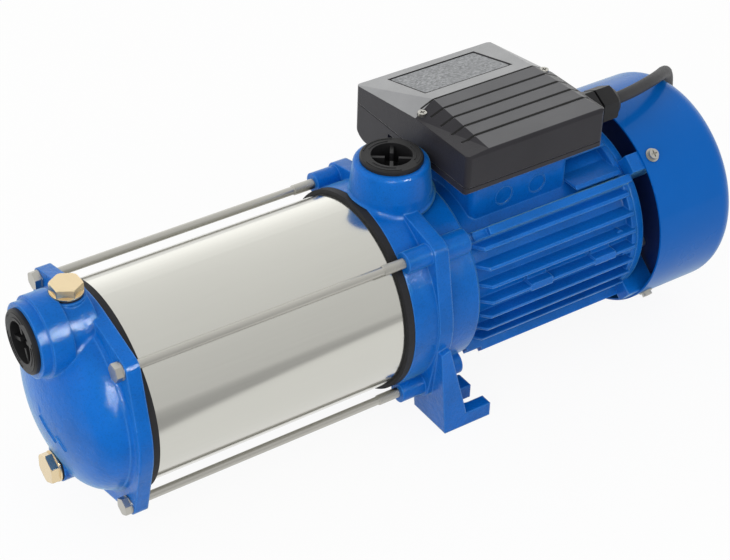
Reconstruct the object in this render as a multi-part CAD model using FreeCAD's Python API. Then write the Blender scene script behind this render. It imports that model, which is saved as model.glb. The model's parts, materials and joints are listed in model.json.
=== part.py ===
# Horizontal multistage pump and its electric motor on one shaft.
# Millimetres. +X runs from the suction port to the fan, +Z is up, and the origin lies on the
# surface under the feet, below the axis of the discharge port. Pieces are drawn about the
# shaft axis and are lifted to the height of the shaft when they are saved.
import FreeCAD, Part
import math
import os

V = FreeCAD.Vector
X = V(1, 0, 0)
Y = V(0, 1, 0)
Z = V(0, 0, 1)
CENTRE = V(0, 0, 0)

# Whole pump
SHAFT_HEIGHT = 80.0         # shaft axis above the surface that the feet stand on
COVER_FACE = -203.2         # rear face of the suction cover
BRACKET_FRONT = -24.0       # front face of the discharge bracket
BRACKET_REAR = 3.0          # rear face of the discharge bracket, where the motor frame seats
CLEARANCE = 0.3             # between curved faces that don't carry each other
CAST_GAP = 0.8              # between the castings of pump and motor
SLIP = 0.05                 # between a shaft and what is pushed onto it

# Barrel and its seal rings
BARREL_R = 62.6
BARREL_WALL = 1.5
SEAL_R = 65.3               # outside of the black rings
SEAL_WIDTH = 4.8
SEAL_WEB = 1.5              # rubber between the end of the barrel and the casting
SPIGOT_R = 59.3             # spigots of the two castings, inside the seal rings
SPIGOT_WALL = 5.0
SPIGOT_LENGTH = 5.2

# Tie bolts
TIE_OFFSET = 49.6           # each bolt lies this far beside and above or below the shaft
TIE_SHANK_R = 2.65
TIE_THREAD_R = 3.0
TIE_THREAD_LENGTH = 15.0    # thread that shows in front of the bracket
TIE_ENGAGED = 13.0          # thread inside the bracket
TIE_HEAD_FLATS = 10.0
TIE_HEAD_HEIGHT = 4.0
TIE_WASHER_R = 5.6
TIE_WASHER_THICKNESS = 1.0

# Suction cover
COVER_NOSE = -241.0         # front of the dome on the shaft axis
COVER_CROWN_R = 110.0       # gentle curve of the dome's front
COVER_CORNER_R = 24.0       # rounding from the front to the side of the dome
COVER_SIDE_R = 60.5
COVER_WALL = 5.5
COVER_FLANGE_R = 66.5
COVER_FLANGE_THICKNESS = 8.8
COVER_EAR_R = 6.6
COVER_FILLET = 2.5          # between the dome's side and the flange
COVER_EDGE = 1.2            # rounding of the flange
SUCTION_HEIGHT = 51.0       # axis of the suction port above the shaft
SUCTION_FACE = -245.2
SUCTION_NECK_R = 22.6
SUCTION_FILLET = 5.0
SUCTION_COLLAR_R = 24.6
SUCTION_COLLAR_START = -239.0
SUCTION_COLLAR_END = -226.0
PRIMING_X = -218.0
PRIMING_BOSS_R = 11.0
PRIMING_SEAT = 22.2         # top of the boss above the axis of the suction port
DRAIN_DEPTH = 47.0          # axis of the drain plug below the shaft
DRAIN_BOSS_R = 10.5
DRAIN_FILLET = 2.0
DRAIN_SEAT = -233.0
DOME_RIDGES = (             # raised lines beside the drain boss: y and z of both ends
    (-0.1, -5.2, -15.1, -15.9),
    (-16.7, -9.5, -23.9, -16.9))
DOME_RIDGE_WIDTH = 1.3
DOME_RIDGE_HEIGHT = 0.8

# Ports and their transport plugs
PORT_R = 15.2               # inside of the one-inch pipe thread
PORT_PLUG_GAP = 0.3
PLUG_FLANGE_R = 19.5
PLUG_FLANGE_THICKNESS = 3.0
PLUG_FLANGE_CHAMFER = 0.8
PLUG_RECESS_R = 12.7
PLUG_DEPTH = 12.0
PLUG_FLOOR = 2.0
PLUG_RIB = 2.2
PLUG_RIB_INNER_R = 4.2
PLUG_RIB_SUNK = 1.5         # ribs end this far below the face of the flange
SUCTION_PLUG_TURN = 20.0    # how far each plug was screwed round
DISCHARGE_PLUG_TURN = 55.0

# Brass plugs
BRASS_FLATS = 17.0
BRASS_HEAD = 5.2
BRASS_COLLAR_R = 9.8
BRASS_COLLAR = 1.2
BRASS_THREAD_R = 6.0
BRASS_THREAD_LENGTH = 9.0
BRASS_WASHER = 1.2
BRASS_WASHER_R = 9.6

# Discharge bracket
BRACKET_BODY_R = 65.5
BRACKET_FLANGE_FRONT = -7.0
BRACKET_R = 67.0            # rear flange, against the motor
BRACKET_LUG_R = 8.6
ROD_LUG_R = 6.8             # lugs that the tie bolts are screwed into
BRACKET_CHAMBER_R = 54.0
BRACKET_WALL_X = 8.0        # front of the wall between the water and the motor
BRACKET_WALL = 5.0
BRACKET_SPIGOT_R = 56.5     # centres the motor frame
DISCHARGE_TOP = 87.5        # face of the discharge port above the shaft
NECK_BASE_R = 25.3
NECK_TOP_R = 23.6
NECK_ROUNDING = 3.0
NECK_FILLET = 3.5           # between the neck and the round body
NECK_SHOULDER = 70.0        # height of the cylinder that the rounded root is drawn on
NECK_ROOT_Z = 30.0          # start of the neck, inside the round body
THROAT_R = 13.0             # passage from the chamber into the port
THROAT_LEAN = -0.4          # its slope towards the stages
THROAT_LENGTH = 34.0
THROAT_TOP = (1.5, 71.0)
PORT_DEPTH = 20.0           # threaded depth of the port
SEAL_HOUSING_R = 22.0       # cone in front of the seal seat
BEARING_HOUSING_WALL = 5.0
HOUSING_LIP = 1.5           # metal beyond the front bearing

# Feet
FOOT_OUTER = 69.7
FOOT_INNER = 36.2
FOOT_TIP = 34.7
FOOT_THICKNESS = 9.8
FOOT_SLOT_WIDTH = 12.5
FOOT_SLOT_CENTRE = 55.05
FOOT_SLOT_END = 22.9        # centre of the round end of the slot
FOOT_HEEL = 15.9
FOOT_LEG_TOP = -15.0
FOOT_CHAMFER = 4.0

# Pump stages
STAGES = 5
STAGE_R = 60.8
STAGE_WALL = 1.8
INLET_PLATE = 2.0
IMPELLER_R = 49.0
IMPELLER_WIDTH = 9.0
IMPELLER_SHROUD = 1.5
IMPELLER_EYE_R = 17.5
IMPELLER_EYE_WALL = 1.6
IMPELLER_HUB_R = 11.5
IMPELLER_VANES = 6
IMPELLER_LEAD = -62.0       # how far a vane turns back between eye and rim, in degrees
EYE_GAP = 0.5
IMPELLER_OFFSET = 4.5       # from the start of a stage to the front shroud
SPACER_R = 10.0
RETURN_VANES = 6
RETURN_LEAD = 55.0
VANE_THICKNESS = 1.8

# Shaft and mechanical seal
SHAFT_R = 7.0
SHAFT_FRONT = -201.0
SEAL_SEAT_R = 13.5
SEAL_SEAT_LENGTH = 7.0
SEAL_SEAT_X = -1.0
SEAL_FACE_R = 11.5
SEAL_FACE_LENGTH = 12.0
SPRING_WIRE_R = 0.9
SPRING_R = 9.5
SPRING_TURNS = 3
SPRING_LENGTH = 10.0

# Bearings: bore, outside and width, with ball size
FRONT_BORE_R = 8.5
FRONT_OUTER_R = 20.0
FRONT_WIDTH = 12.0
FRONT_BEARING_X = 15.0
FRONT_BALL_R = 3.4
REAR_BORE_R = 7.5
REAR_OUTER_R = 17.5
REAR_WIDTH = 11.0
REAR_BALL_R = 3.0
BALLS = 7
BALL_GAP = 0.06

# Motor
FRAME_RING_R = 62.0
FRAME_RING_END = 29.0
FRAME_TUBE_R = 54.5
FRAME_BORE_R = 50.5
FRAME_REAR = 154.0
REAR_BEARING_X = FRAME_REAR - 6.0
FIN_TIP_R = 62.5
FIN_START = 36.5
FIN_END = 151.0
FIN_TOP = 36.9
FIN_PITCH = 11.15
FIN_COUNT = 7
FIN_THICKNESS = 2.4
EJECTOR_PLACES = (75.0, 126.0)   # flats on one fin, where the mould's pins pushed
EJECTOR_LENGTH = 17.0
EJECTOR_WIDTH = 5.0
EJECTOR_FIN = 3             # counted down from the top fin
EJECTOR_SUNK = 6.0          # web above each flat, below the tip of the fin
RAIL_R = 66.0
RAIL_THICKNESS = 8.0
FRAME_LUG_R = 8.0
FRAME_LUG_END = 22.5
FRAME_SCREW_OFFSET = 46.5
FRAME_SCREW_R = 3.0
FRAME_SCREW_HEAD_R = 5.0
FRAME_SCREW_HEAD = 6.0
FRAME_SCREW_SUNK = 6.5      # counterbore of each lug
FRAME_SCREW_ENGAGED = 10.0
PAD_FRONT = 39.5
PAD_REAR = 114.7
PAD_HALF = 30.6             # half its width, across the shaft
PAD_TOP = 74.0
PAD_WALL = 3.0
PAD_CORNER = 5.0
PAD_FLOOR = 3.5             # metal between the motor and the hollow of the pad
WIRE_WAY_R = 9.0
WIRE_WAY_X = 55.5
PAD_DISC_R = 6.3            # flat round marks on the near side of the pad
PAD_DISC_Z = 55.4
PAD_DISC_PLACES = (64.5, 90.2)
PAD_DISC_DEPTH = 0.8
GASKET = 1.0
STATOR_START = 60.0
STATOR_ROOM = 24.0          # from the stator to the end of the frame
WINDING_GAP = 3.0           # from the windings to the end of the frame
STATOR_LENGTH = FRAME_REAR - STATOR_ROOM - STATOR_START
STATOR_BORE_R = 30.0
WINDING_OVERHANG = STATOR_ROOM - WINDING_GAP
WINDING_INNER_R = 32.0
WINDING_OUTER_R = 46.5
AIR_GAP = 0.4
ROTOR_SEAT_R = 10.0
END_RING = 8.0

# End shield, fan and fan cover
SHIELD_THICKNESS = 5.0
SHIELD_R = 60.0
SHIELD_SCREW_PLACE = 56.0   # distance of each through screw from the shaft
SHIELD_SCREW_R = 2.0
SHIELD_SCREW_FLATS = 7.0
SHIELD_SCREW_HEAD = 3.0
SHIELD_SCREW_ENGAGED = 9.0
SHIELD_SCREW_BOSS_R = 4.2
SHIELD_BOSS_WIDTH = 12.0
SHIELD_BOSS_END = 177.0
COVER_R = 71.8
COVER_SHEET = 1.2
COVER_RIM = 163.7
COVER_REAR = 229.0
COVER_CORNER = 12.0
COVER_SCREW_X = 171.7
COVER_SCREW_ANGLE = 38.6    # from the top towards the near side
COVER_SCREW_HEAD_R = 3.4
COVER_SCREW_HEAD = 2.4
COVER_SCREW_R = 2.0
COVER_SCREW_LENGTH = 11.0
COVER_SCREW_WASHER_R = 4.6
COVER_SCREW_WASHER = 0.8
COVER_SCREW_CROSS = 4.4
GRILLE_RINGS = 3
GRILLE_SLOTS = 8
GRILLE_SLOT = 4.5
GRILLE_PITCH = 13.0
GRILLE_FIRST_R = 20.0
FAN_START = 181.0
FAN_WIDTH = 26.0
FAN_R = 62.0
FAN_BLADES = 7
FAN_SHEET = 2.0
FAN_HUB_R = 12.0

# Terminal box
BOX_FRONT = 25.5
BOX_REAR = 131.0
BOX_NEAR = -41.7
BOX_FAR = 77.2
BOX_SEAM = 79.7
BOX_WALL = 2.4
BOX_CORNER = 3.5            # rounding of the upright corners
BOX_EDGE = 1.8              # rounding below the near wall
BOX_REVEAL = 0.5            # groove along the seam
LID_RIDGE_Y = 16.5
LID_RIDGE_Z = 107.4
LID_RIDGE_FRONT = 16.1      # from the front of the box to the start of the ridge
LID_RIDGE_REAR = 12.5
LID_NEAR_Z = 102.6          # top of the lid above the near wall
LID_NEAR_FRONT = 17.1       # from the front of the box to the corner of the near slope
LID_NEAR_REAR = 2.9
LID_SIDE_DROP = 0.8         # fall of the near edge towards its ends
LID_FAR_Z = 91.5
LID_END_Y = 12.4            # highest point of each end edge, beside the lid screw
LID_END_Z = 101.0
LID_ROUNDING = 2.5
LID_GROOVES = 5
LID_GROOVE_PITCH = 10.5
LID_GROOVE_WIDTH = 1.3
LID_GROOVE_DEPTH = 1.0
LID_GROOVE_FRONT = 6.8      # from the front of the box to the grooves
LID_GROOVE_REAR = 1.2
PLATE_FRONT = 18.7          # recess for the rating plate, from the front of the box
PLATE_LENGTH = 68.0
PLATE_NEAR = 28.7
PLATE_FAR = 69.4
PLATE_RECESS = 0.6
BULGE_BOTTOM = 54.8
BULGE_ROUNDING = 12.3
BULGE_START = 40.0
LID_SCREW_R = 2.85
LID_SCREW_HEAD = 2.2
LID_SCREW_SUNK = 1.4
LID_SCREW_FRONT = 5.1
LID_SCREW_REAR = 6.4
LID_SCREW_SHANK_R = 1.75
LID_POST_R = 5.0
CAPACITOR_R = 12.4
CAPACITOR_LENGTH = 62.0
TERMINALS = 5
TERMINALS_LENGTH = 44.0
TERMINALS_WIDTH = 14.0
TERMINALS_HEIGHT = 9.0
TERMINAL_WELL_R = 2.4
LID_CROSS = 3.6             # recess in the head of a lid screw
CROSS_WIDTH = 0.8

# Cable, its coil and the mains plug; points are drawn about the shaft axis
CABLE_R = 4.0
GLAND_Y = -19.4
GLAND_Z = 88.9
GLAND_FLATS = 21.0
GLAND_BODY = 8.0
GLAND_NUT = 15.0
GLAND_NUT_HEX = 12.0
GLAND_NUT_GAP = 1.5
GLAND_NUT_END_R = 8.6
GLAND_NECK_R = 7.6
GLAND_THREAD_R = 8.0
CABLE_ROUTE = [
    (155.5, -19.4, 88.9),
    (171.0, -18.6, 90.2),
    (187.0, -15.0, 91.5),
    (202.0, -7.5, 91.5),
    (216.0, 1.5, 88.0),
    (231.0, 11.0, 78.5),
    (244.5, 19.5, 60.0),
    (254.5, 26.5, 33.0),
    (258.0, 33.0, 3.0),
    (257.5, 40.5, -27.0),
    (256.5, 54.0, -54.0),
    (255.5, 77.0, -71.5),
    (258.3, 100.0, -76.0),
    (260.0, 121.0, -76.0),
    (260.0, 141.0, -76.0),
]
COIL_CENTRE = (208.0, 186.0)
COIL_MID_R = 48.0           # middle of the turns
COIL_LAYERS = 2
COIL_RINGS = 2
COIL_ROUNDING = 3.5
COIL_TAIL = 52.0            # cable between the coil and the plug
PLUG_BODY_R = 18.5
PLUG_GRIP_R = 13.0
PLUG_RELIEF_R = 5.5
PLUG_RELIEF = 16.0
PLUG_GRIP = 20.0
PLUG_BODY = 17.0
PIN_R = 2.4
PIN_LENGTH = 19.0
PIN_SPACING = 19.0


# Ways to draw

def steps_to_wire(steps, place):
    """Closed wire through corners (a, b); a step (ma, mb, a, b) is an arc by way of its middle."""
    edges = []
    last = place(*steps[0][-2:])
    for step in list(steps[1:]) + [steps[0][-2:]]:
        end = place(*step[-2:])
        if len(step) == 4:
            edges.append(Part.Arc(last, place(*step[:2]), end).toShape())
        elif last.distanceToPoint(end) > 1e-6:
            edges.append(Part.makeLine(last, end))
        last = end
    return Part.Wire(edges)


def bend(centre_a, centre_b, radius, start, end):
    """Two steps: the start of an arc, and the arc itself; angles in degrees."""
    def point(angle):
        angle = math.radians(angle)
        return centre_a + radius * math.cos(angle), centre_b + radius * math.sin(angle)
    return [point(start), point((start + end) / 2) + point(end)]


def lathe(steps):
    """Solid turned about the shaft axis from steps of (x, radius)."""
    wire = steps_to_wire(steps, lambda x, r: V(x, 0, r))
    return Part.Face(wire).revolve(CENTRE, X, 360)


def prism_x(steps, start, end):
    """Solid drawn in (y, z) and drawn out along the shaft."""
    wire = steps_to_wire(steps, lambda y, z: V(start, y, z))
    return Part.Face(wire).extrude(V(end - start, 0, 0))


def prism_y(steps, start, end):
    """Solid drawn in (x, z) and drawn out sideways."""
    wire = steps_to_wire(steps, lambda x, z: V(x, start, z))
    return Part.Face(wire).extrude(V(0, end - start, 0))


def disc(x, radius, length, y=0.0, z=0.0):
    """Cylinder along the shaft direction."""
    return Part.makeCylinder(radius, length, V(x, y, z), X)


def ring(x, outer, inner, length):
    return disc(x, outer, length).cut(disc(x - 1, inner, length + 2))


def on_cylinder(edge, height, radius, along):
    """True where an edge bends round a cylinder whose axis is at that height, along X or Z."""
    for share in (0.0, 0.25, 0.5, 0.75, 1.0):
        at = edge.valueAt(edge.FirstParameter + (edge.LastParameter - edge.FirstParameter) * share)
        across = math.hypot(at.y, at.z - height) if along == X else math.hypot(at.x, at.y)
        if abs(across - radius) > 0.02:
            return False
    level = edge.BoundBox.XLength if along == X else edge.BoundBox.ZLength
    return level > 0.3 and edge.BoundBox.YLength > 0.05


def upright_rounded(front, rear, near, far, bottom, top, radius):
    """Block with rounded upright edges."""
    block = Part.makeBox(rear - front, far - near, top - bottom, V(front, near, bottom))
    upright = [edge for edge in block.Edges if edge.BoundBox.ZLength > 0.5 * (top - bottom)]
    return block.makeFillet(radius, upright)


def hexagon(base, direction, flats, height):
    """Hexagonal bar that stands on base."""
    corner = flats / math.sqrt(3)
    side = Y if abs(direction.x) > 0.5 else X
    other = direction.cross(side)
    points = []
    for turn in range(7):
        angle = math.radians(60 * turn + 30)
        points.append(base + side * (corner * math.cos(angle)) + other * (corner * math.sin(angle)))
    bar = Part.Face(Part.makePolygon(points)).extrude(direction * height)
    wide = corner + height
    narrow = flats / 2 + 0.04 * flats
    cone = Part.makeCone(wide, narrow, height, base, direction)
    return bar.common(cone)


def four(shape):
    """The shape and its three copies turned by quarter turns about the shaft."""
    copies = []
    for quarter in range(4):
        copy = shape.copy()
        copy.rotate(CENTRE, X, 90 * quarter)
        copies.append(copy)
    return copies


def around(shape, count):
    """Copies of the shape spread evenly about the shaft."""
    copies = []
    for index in range(count):
        copy = shape.copy()
        copy.rotate(CENTRE, X, 360.0 * index / count)
        copies.append(copy)
    return copies


def fused(shapes):
    return shapes[0].fuse(shapes[1:]).removeSplitter()


def lobe(body_r, ear_r, start, end):
    """Ear about a tie bolt, joined to the round body by its two tangents."""
    distance = TIE_OFFSET * math.sqrt(2)
    lean = math.acos((body_r - ear_r) / distance)
    points = []
    for side in (-1, 1):
        along = body_r * math.cos(lean)
        across = side * body_r * math.sin(lean)
        points.append((along, across))
        points.append((distance + ear_r * math.cos(lean), side * ear_r * math.sin(lean)))
    steps = [points[0], points[1], points[3], points[2]]
    web = prism_x(steps, start, end)
    ear = disc(start, ear_r, end - start, distance, 0)
    both = web.fuse(ear)
    both.rotate(CENTRE, X, 45)
    return both


def save(name, shape):
    """Lift the piece to the height of the shaft and write it."""
    shape = shape.copy()
    shape.translate(V(0, 0, SHAFT_HEIGHT))
    shape.exportStep("parts/" + name + ".step")
    BUILT[name] = shape


BUILT = {}
STACK_FRONT = COVER_FACE + SPIGOT_LENGTH
STACK_REAR = BRACKET_FRONT - SPIGOT_LENGTH
STAGE_PITCH = (STACK_REAR - STACK_FRONT - INLET_PLATE) / STAGES
SPIGOT_BORE = SPIGOT_R - SPIGOT_WALL


# Suction end

def dome(inset):
    """Steps of the dome from the shaft axis to its side, moved inwards by inset."""
    centre_x = COVER_NOSE + COVER_CROWN_R
    corner_r = COVER_SIDE_R - COVER_CORNER_R
    corner_x = centre_x - math.sqrt((COVER_CROWN_R - COVER_CORNER_R) ** 2 - corner_r ** 2)
    lean = math.degrees(math.atan2(corner_r, centre_x - corner_x))
    crown = bend(centre_x, 0, COVER_CROWN_R - inset, 180, 180 - lean)
    corner = bend(corner_x, corner_r, COVER_CORNER_R - inset, 180 - lean, 90)
    return crown + corner[1:]


def dome_ridges():
    """Raised lines on the front of the dome."""
    skin = lathe(dome(-DOME_RIDGE_HEIGHT) + [(COVER_FACE, 0)])
    skin = skin.cut(lathe(dome(DOME_RIDGE_HEIGHT) + [(COVER_FACE, 0)]))
    ridges = []
    for y, z, end_y, end_z in DOME_RIDGES:
        length = math.hypot(end_y - y, end_z - z)
        bar = Part.makeBox(COVER_FACE - COVER_NOSE + 1, length, DOME_RIDGE_WIDTH,
                           V(COVER_NOSE - 1, 0, -DOME_RIDGE_WIDTH / 2))
        bar.rotate(CENTRE, X, math.degrees(math.atan2(end_z - z, end_y - y)))
        bar.translate(V(0, y, z))
        ridges.append(bar.common(skin))
    return ridges


def suction_cover():
    flange_front = COVER_FACE - COVER_FLANGE_THICKNESS
    outer = lathe(dome(0) + [
        (COVER_FACE, COVER_SIDE_R),
        (COVER_FACE, SPIGOT_R),
        (STACK_FRONT, SPIGOT_R),
        (STACK_FRONT, 0)])
    fillet_x = flange_front - COVER_FILLET
    edge_r = COVER_FLANGE_R - COVER_EDGE
    flange = lathe([(COVER_FACE, COVER_SIDE_R - 1), (fillet_x, COVER_SIDE_R - 1)]
                   + bend(fillet_x, COVER_SIDE_R + COVER_FILLET, COVER_FILLET, 270, 360)
                   + bend(flange_front + COVER_EDGE, edge_r, COVER_EDGE, 180, 90)
                   + [(COVER_FACE, COVER_FLANGE_R)])
    ears = four(lobe(COVER_FLANGE_R, COVER_EAR_R, flange_front, COVER_FACE))
    neck_end = COVER_FACE - COVER_WALL
    neck = disc(SUCTION_FACE, SUCTION_NECK_R, neck_end - SUCTION_FACE, 0, SUCTION_HEIGHT)
    drain = disc(DRAIN_SEAT, DRAIN_BOSS_R, neck_end - DRAIN_SEAT, 0, -DRAIN_DEPTH)
    outer = outer.fuse([neck, drain])
    roots = [edge for edge in outer.Edges if on_cylinder(edge, SUCTION_HEIGHT, SUCTION_NECK_R, X)]
    outer = outer.makeFillet(SUCTION_FILLET, roots)
    roots = [edge for edge in outer.Edges if on_cylinder(edge, -DRAIN_DEPTH, DRAIN_BOSS_R, X)]
    outer = outer.makeFillet(DRAIN_FILLET, roots)
    collar = disc(SUCTION_COLLAR_START, SUCTION_COLLAR_R, SUCTION_COLLAR_END - SUCTION_COLLAR_START,
                  0, SUCTION_HEIGHT)
    priming = Part.makeCylinder(PRIMING_BOSS_R, PRIMING_SEAT, V(PRIMING_X, 0, SUCTION_HEIGHT), Z)
    body = outer.fuse(ears + dome_ridges() + [flange, collar, priming])
    hollow = lathe(dome(COVER_WALL) + [
        (STACK_FRONT + 1, COVER_SIDE_R - COVER_WALL),
        (STACK_FRONT + 1, 0)])
    narrow = ring(COVER_FACE - 6, COVER_SIDE_R, SPIGOT_BORE, SPIGOT_LENGTH + 8)
    hollow = hollow.cut(narrow)
    body = body.cut([hollow, disc(SUCTION_FACE - 1, PORT_R, 22, 0, SUCTION_HEIGHT)])
    passage = disc(SUCTION_FACE + 20, PORT_R, 14, 0, SUCTION_HEIGHT - 4)
    priming_hole = Part.makeCylinder(BRASS_THREAD_R + PORT_PLUG_GAP, PRIMING_SEAT + 2,
                                     V(PRIMING_X, 0, SUCTION_HEIGHT), Z)
    drain_hole = disc(DRAIN_SEAT - 1, BRASS_THREAD_R + PORT_PLUG_GAP, 20, 0, -DRAIN_DEPTH)
    bolt_hole = disc(COVER_FACE - 20, TIE_SHANK_R + CLEARANCE, 30, TIE_OFFSET, TIE_OFFSET)
    spot_r = BRASS_COLLAR_R + CLEARANCE
    spots = [Part.makeCylinder(spot_r, 10, V(PRIMING_X, 0, SUCTION_HEIGHT + PRIMING_SEAT), Z)]
    spots.append(disc(DRAIN_SEAT - 10, spot_r, 10, 0, -DRAIN_DEPTH))
    return body.cut([passage, priming_hole, drain_hole] + spots + four(bolt_hole)).removeSplitter()


def transport_plug():
    """Plug of a port, with its flange's underside at the origin and its axis along +X."""
    flange = lathe([
        (0, 0),
        (0, PLUG_FLANGE_R),
        (PLUG_FLANGE_THICKNESS - PLUG_FLANGE_CHAMFER, PLUG_FLANGE_R),
        (PLUG_FLANGE_THICKNESS, PLUG_FLANGE_R - PLUG_FLANGE_CHAMFER),
        (PLUG_FLANGE_THICKNESS, 0)])
    stem = disc(-PLUG_DEPTH, PORT_R - PORT_PLUG_GAP, PLUG_DEPTH)
    hole = disc(-PLUG_DEPTH + PLUG_FLOOR, PLUG_RECESS_R, PLUG_DEPTH + PLUG_FLANGE_THICKNESS)
    plug = flange.fuse(stem).cut(hole)
    rib_length = PLUG_DEPTH - PLUG_FLOOR + PLUG_FLANGE_THICKNESS - PLUG_RIB_SUNK
    rib = Part.makeBox(rib_length, PLUG_RIB, PLUG_RECESS_R - PLUG_RIB_INNER_R + 1,
                       V(-PLUG_DEPTH + PLUG_FLOOR - 0.5, -PLUG_RIB / 2, PLUG_RIB_INNER_R))
    return fused([plug] + four(rib))


def suction_plug():
    plug = transport_plug()
    plug.rotate(CENTRE, X, SUCTION_PLUG_TURN)
    plug.rotate(CENTRE, Z, 180)
    plug.translate(V(SUCTION_FACE, 0, SUCTION_HEIGHT))
    return plug


def discharge_plug():
    plug = transport_plug()
    plug.rotate(CENTRE, X, DISCHARGE_PLUG_TURN)
    plug.rotate(CENTRE, Y, -90)
    plug.translate(V(0, 0, DISCHARGE_TOP))
    return plug


def brass_plug(seat, direction):
    """Hexagon plug whose washer lies on seat."""
    washer_top = seat + direction * BRASS_WASHER
    head = hexagon(washer_top + direction * BRASS_COLLAR, direction, BRASS_FLATS, BRASS_HEAD)
    collar = Part.makeCylinder(BRASS_COLLAR_R, BRASS_COLLAR, washer_top, direction)
    thread_length = BRASS_THREAD_LENGTH + BRASS_WASHER
    thread = Part.makeCylinder(BRASS_THREAD_R, thread_length, washer_top, direction * -1)
    plug = fused([head, collar, thread])
    washer = Part.makeCylinder(BRASS_WASHER_R, BRASS_WASHER, seat, direction)
    washer = washer.cut(Part.makeCylinder(BRASS_THREAD_R + SLIP, BRASS_WASHER, seat, direction))
    return plug, washer


# Barrel, its seals and the tie bolts

def seal_ring(face, towards):
    """Rubber ring on the casting's face; towards is the way to the barrel, -1 or 1."""
    groove_start = face + towards * SEAL_WEB
    far_end = face + towards * SEAL_WIDTH
    inner_lip = BARREL_R - BARREL_WALL - SLIP
    outer_lip = BARREL_R + SLIP
    return lathe([
        (face, SPIGOT_R + SLIP),
        (face, SEAL_R),
        (far_end, SEAL_R),
        (far_end, outer_lip),
        (groove_start, outer_lip),
        (groove_start, inner_lip),
        (far_end, inner_lip),
        (far_end, SPIGOT_R + SLIP)])


def pump_barrel():
    start = COVER_FACE + SEAL_WEB
    end = BRACKET_FRONT - SEAL_WEB
    return ring(start, BARREL_R, BARREL_R - BARREL_WALL, end - start)


def tie_bolts():
    seat = COVER_FACE - COVER_FLANGE_THICKNESS
    washer = Part.makeCylinder(TIE_WASHER_R, TIE_WASHER_THICKNESS,
                               V(seat - TIE_WASHER_THICKNESS, TIE_OFFSET, TIE_OFFSET), X)
    head_seat = seat - TIE_WASHER_THICKNESS
    head = hexagon(V(head_seat, TIE_OFFSET, TIE_OFFSET), X * -1, TIE_HEAD_FLATS, TIE_HEAD_HEIGHT)
    thread_start = BRACKET_FRONT - TIE_THREAD_LENGTH
    shank = disc(head_seat, TIE_SHANK_R, thread_start - head_seat, TIE_OFFSET, TIE_OFFSET)
    thread = disc(thread_start, TIE_THREAD_R, TIE_THREAD_LENGTH + TIE_ENGAGED, TIE_OFFSET, TIE_OFFSET)
    return Part.makeCompound(four(fused([washer, head, shank, thread])))


# Discharge bracket

def motor_room():
    """Space behind the bracket that the motor frame and its lugs take."""
    lug = disc(BRACKET_REAR, FRAME_LUG_R + CAST_GAP, 40, FRAME_SCREW_OFFSET, FRAME_SCREW_OFFSET)
    return [disc(BRACKET_REAR, FRAME_RING_R + CAST_GAP, 40)] + four(lug)


def foot(side):
    """Leg and slotted foot; side is -1 for the near one and 1 for the far one."""
    base = -SHAFT_HEIGHT
    leg = prism_y([
        (-6.4, FOOT_LEG_TOP),
        (0, FOOT_LEG_TOP + 2),
        (FOOT_HEEL, base + FOOT_THICKNESS),
        (FOOT_TIP, base + FOOT_THICKNESS),
        (FOOT_TIP, base),
        (-0.2, base)], FOOT_INNER, FOOT_OUTER)
    tall = FOOT_THICKNESS + 4
    round_end = Part.makeCylinder(FOOT_SLOT_WIDTH / 2, tall,
                                  V(FOOT_SLOT_END, FOOT_SLOT_CENTRE, base - 2))
    straight = Part.makeBox(FOOT_TIP, FOOT_SLOT_WIDTH, tall,
                            V(FOOT_SLOT_END, FOOT_SLOT_CENTRE - FOOT_SLOT_WIDTH / 2, base - 2))
    slot = round_end.fuse(straight)
    corner = Part.makeBox(FOOT_CHAMFER * 2, FOOT_CHAMFER * 2, tall, V(-FOOT_CHAMFER, -FOOT_CHAMFER, 0))
    corner.rotate(CENTRE, Z, 45)
    corner.translate(V(FOOT_TIP + FOOT_CHAMFER * 0.6, FOOT_INNER - FOOT_CHAMFER * 0.6, base - 2))
    shape = leg.cut([slot, corner] + motor_room())
    if side < 0:
        shape = shape.mirror(CENTRE, Y)
    return shape


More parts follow.
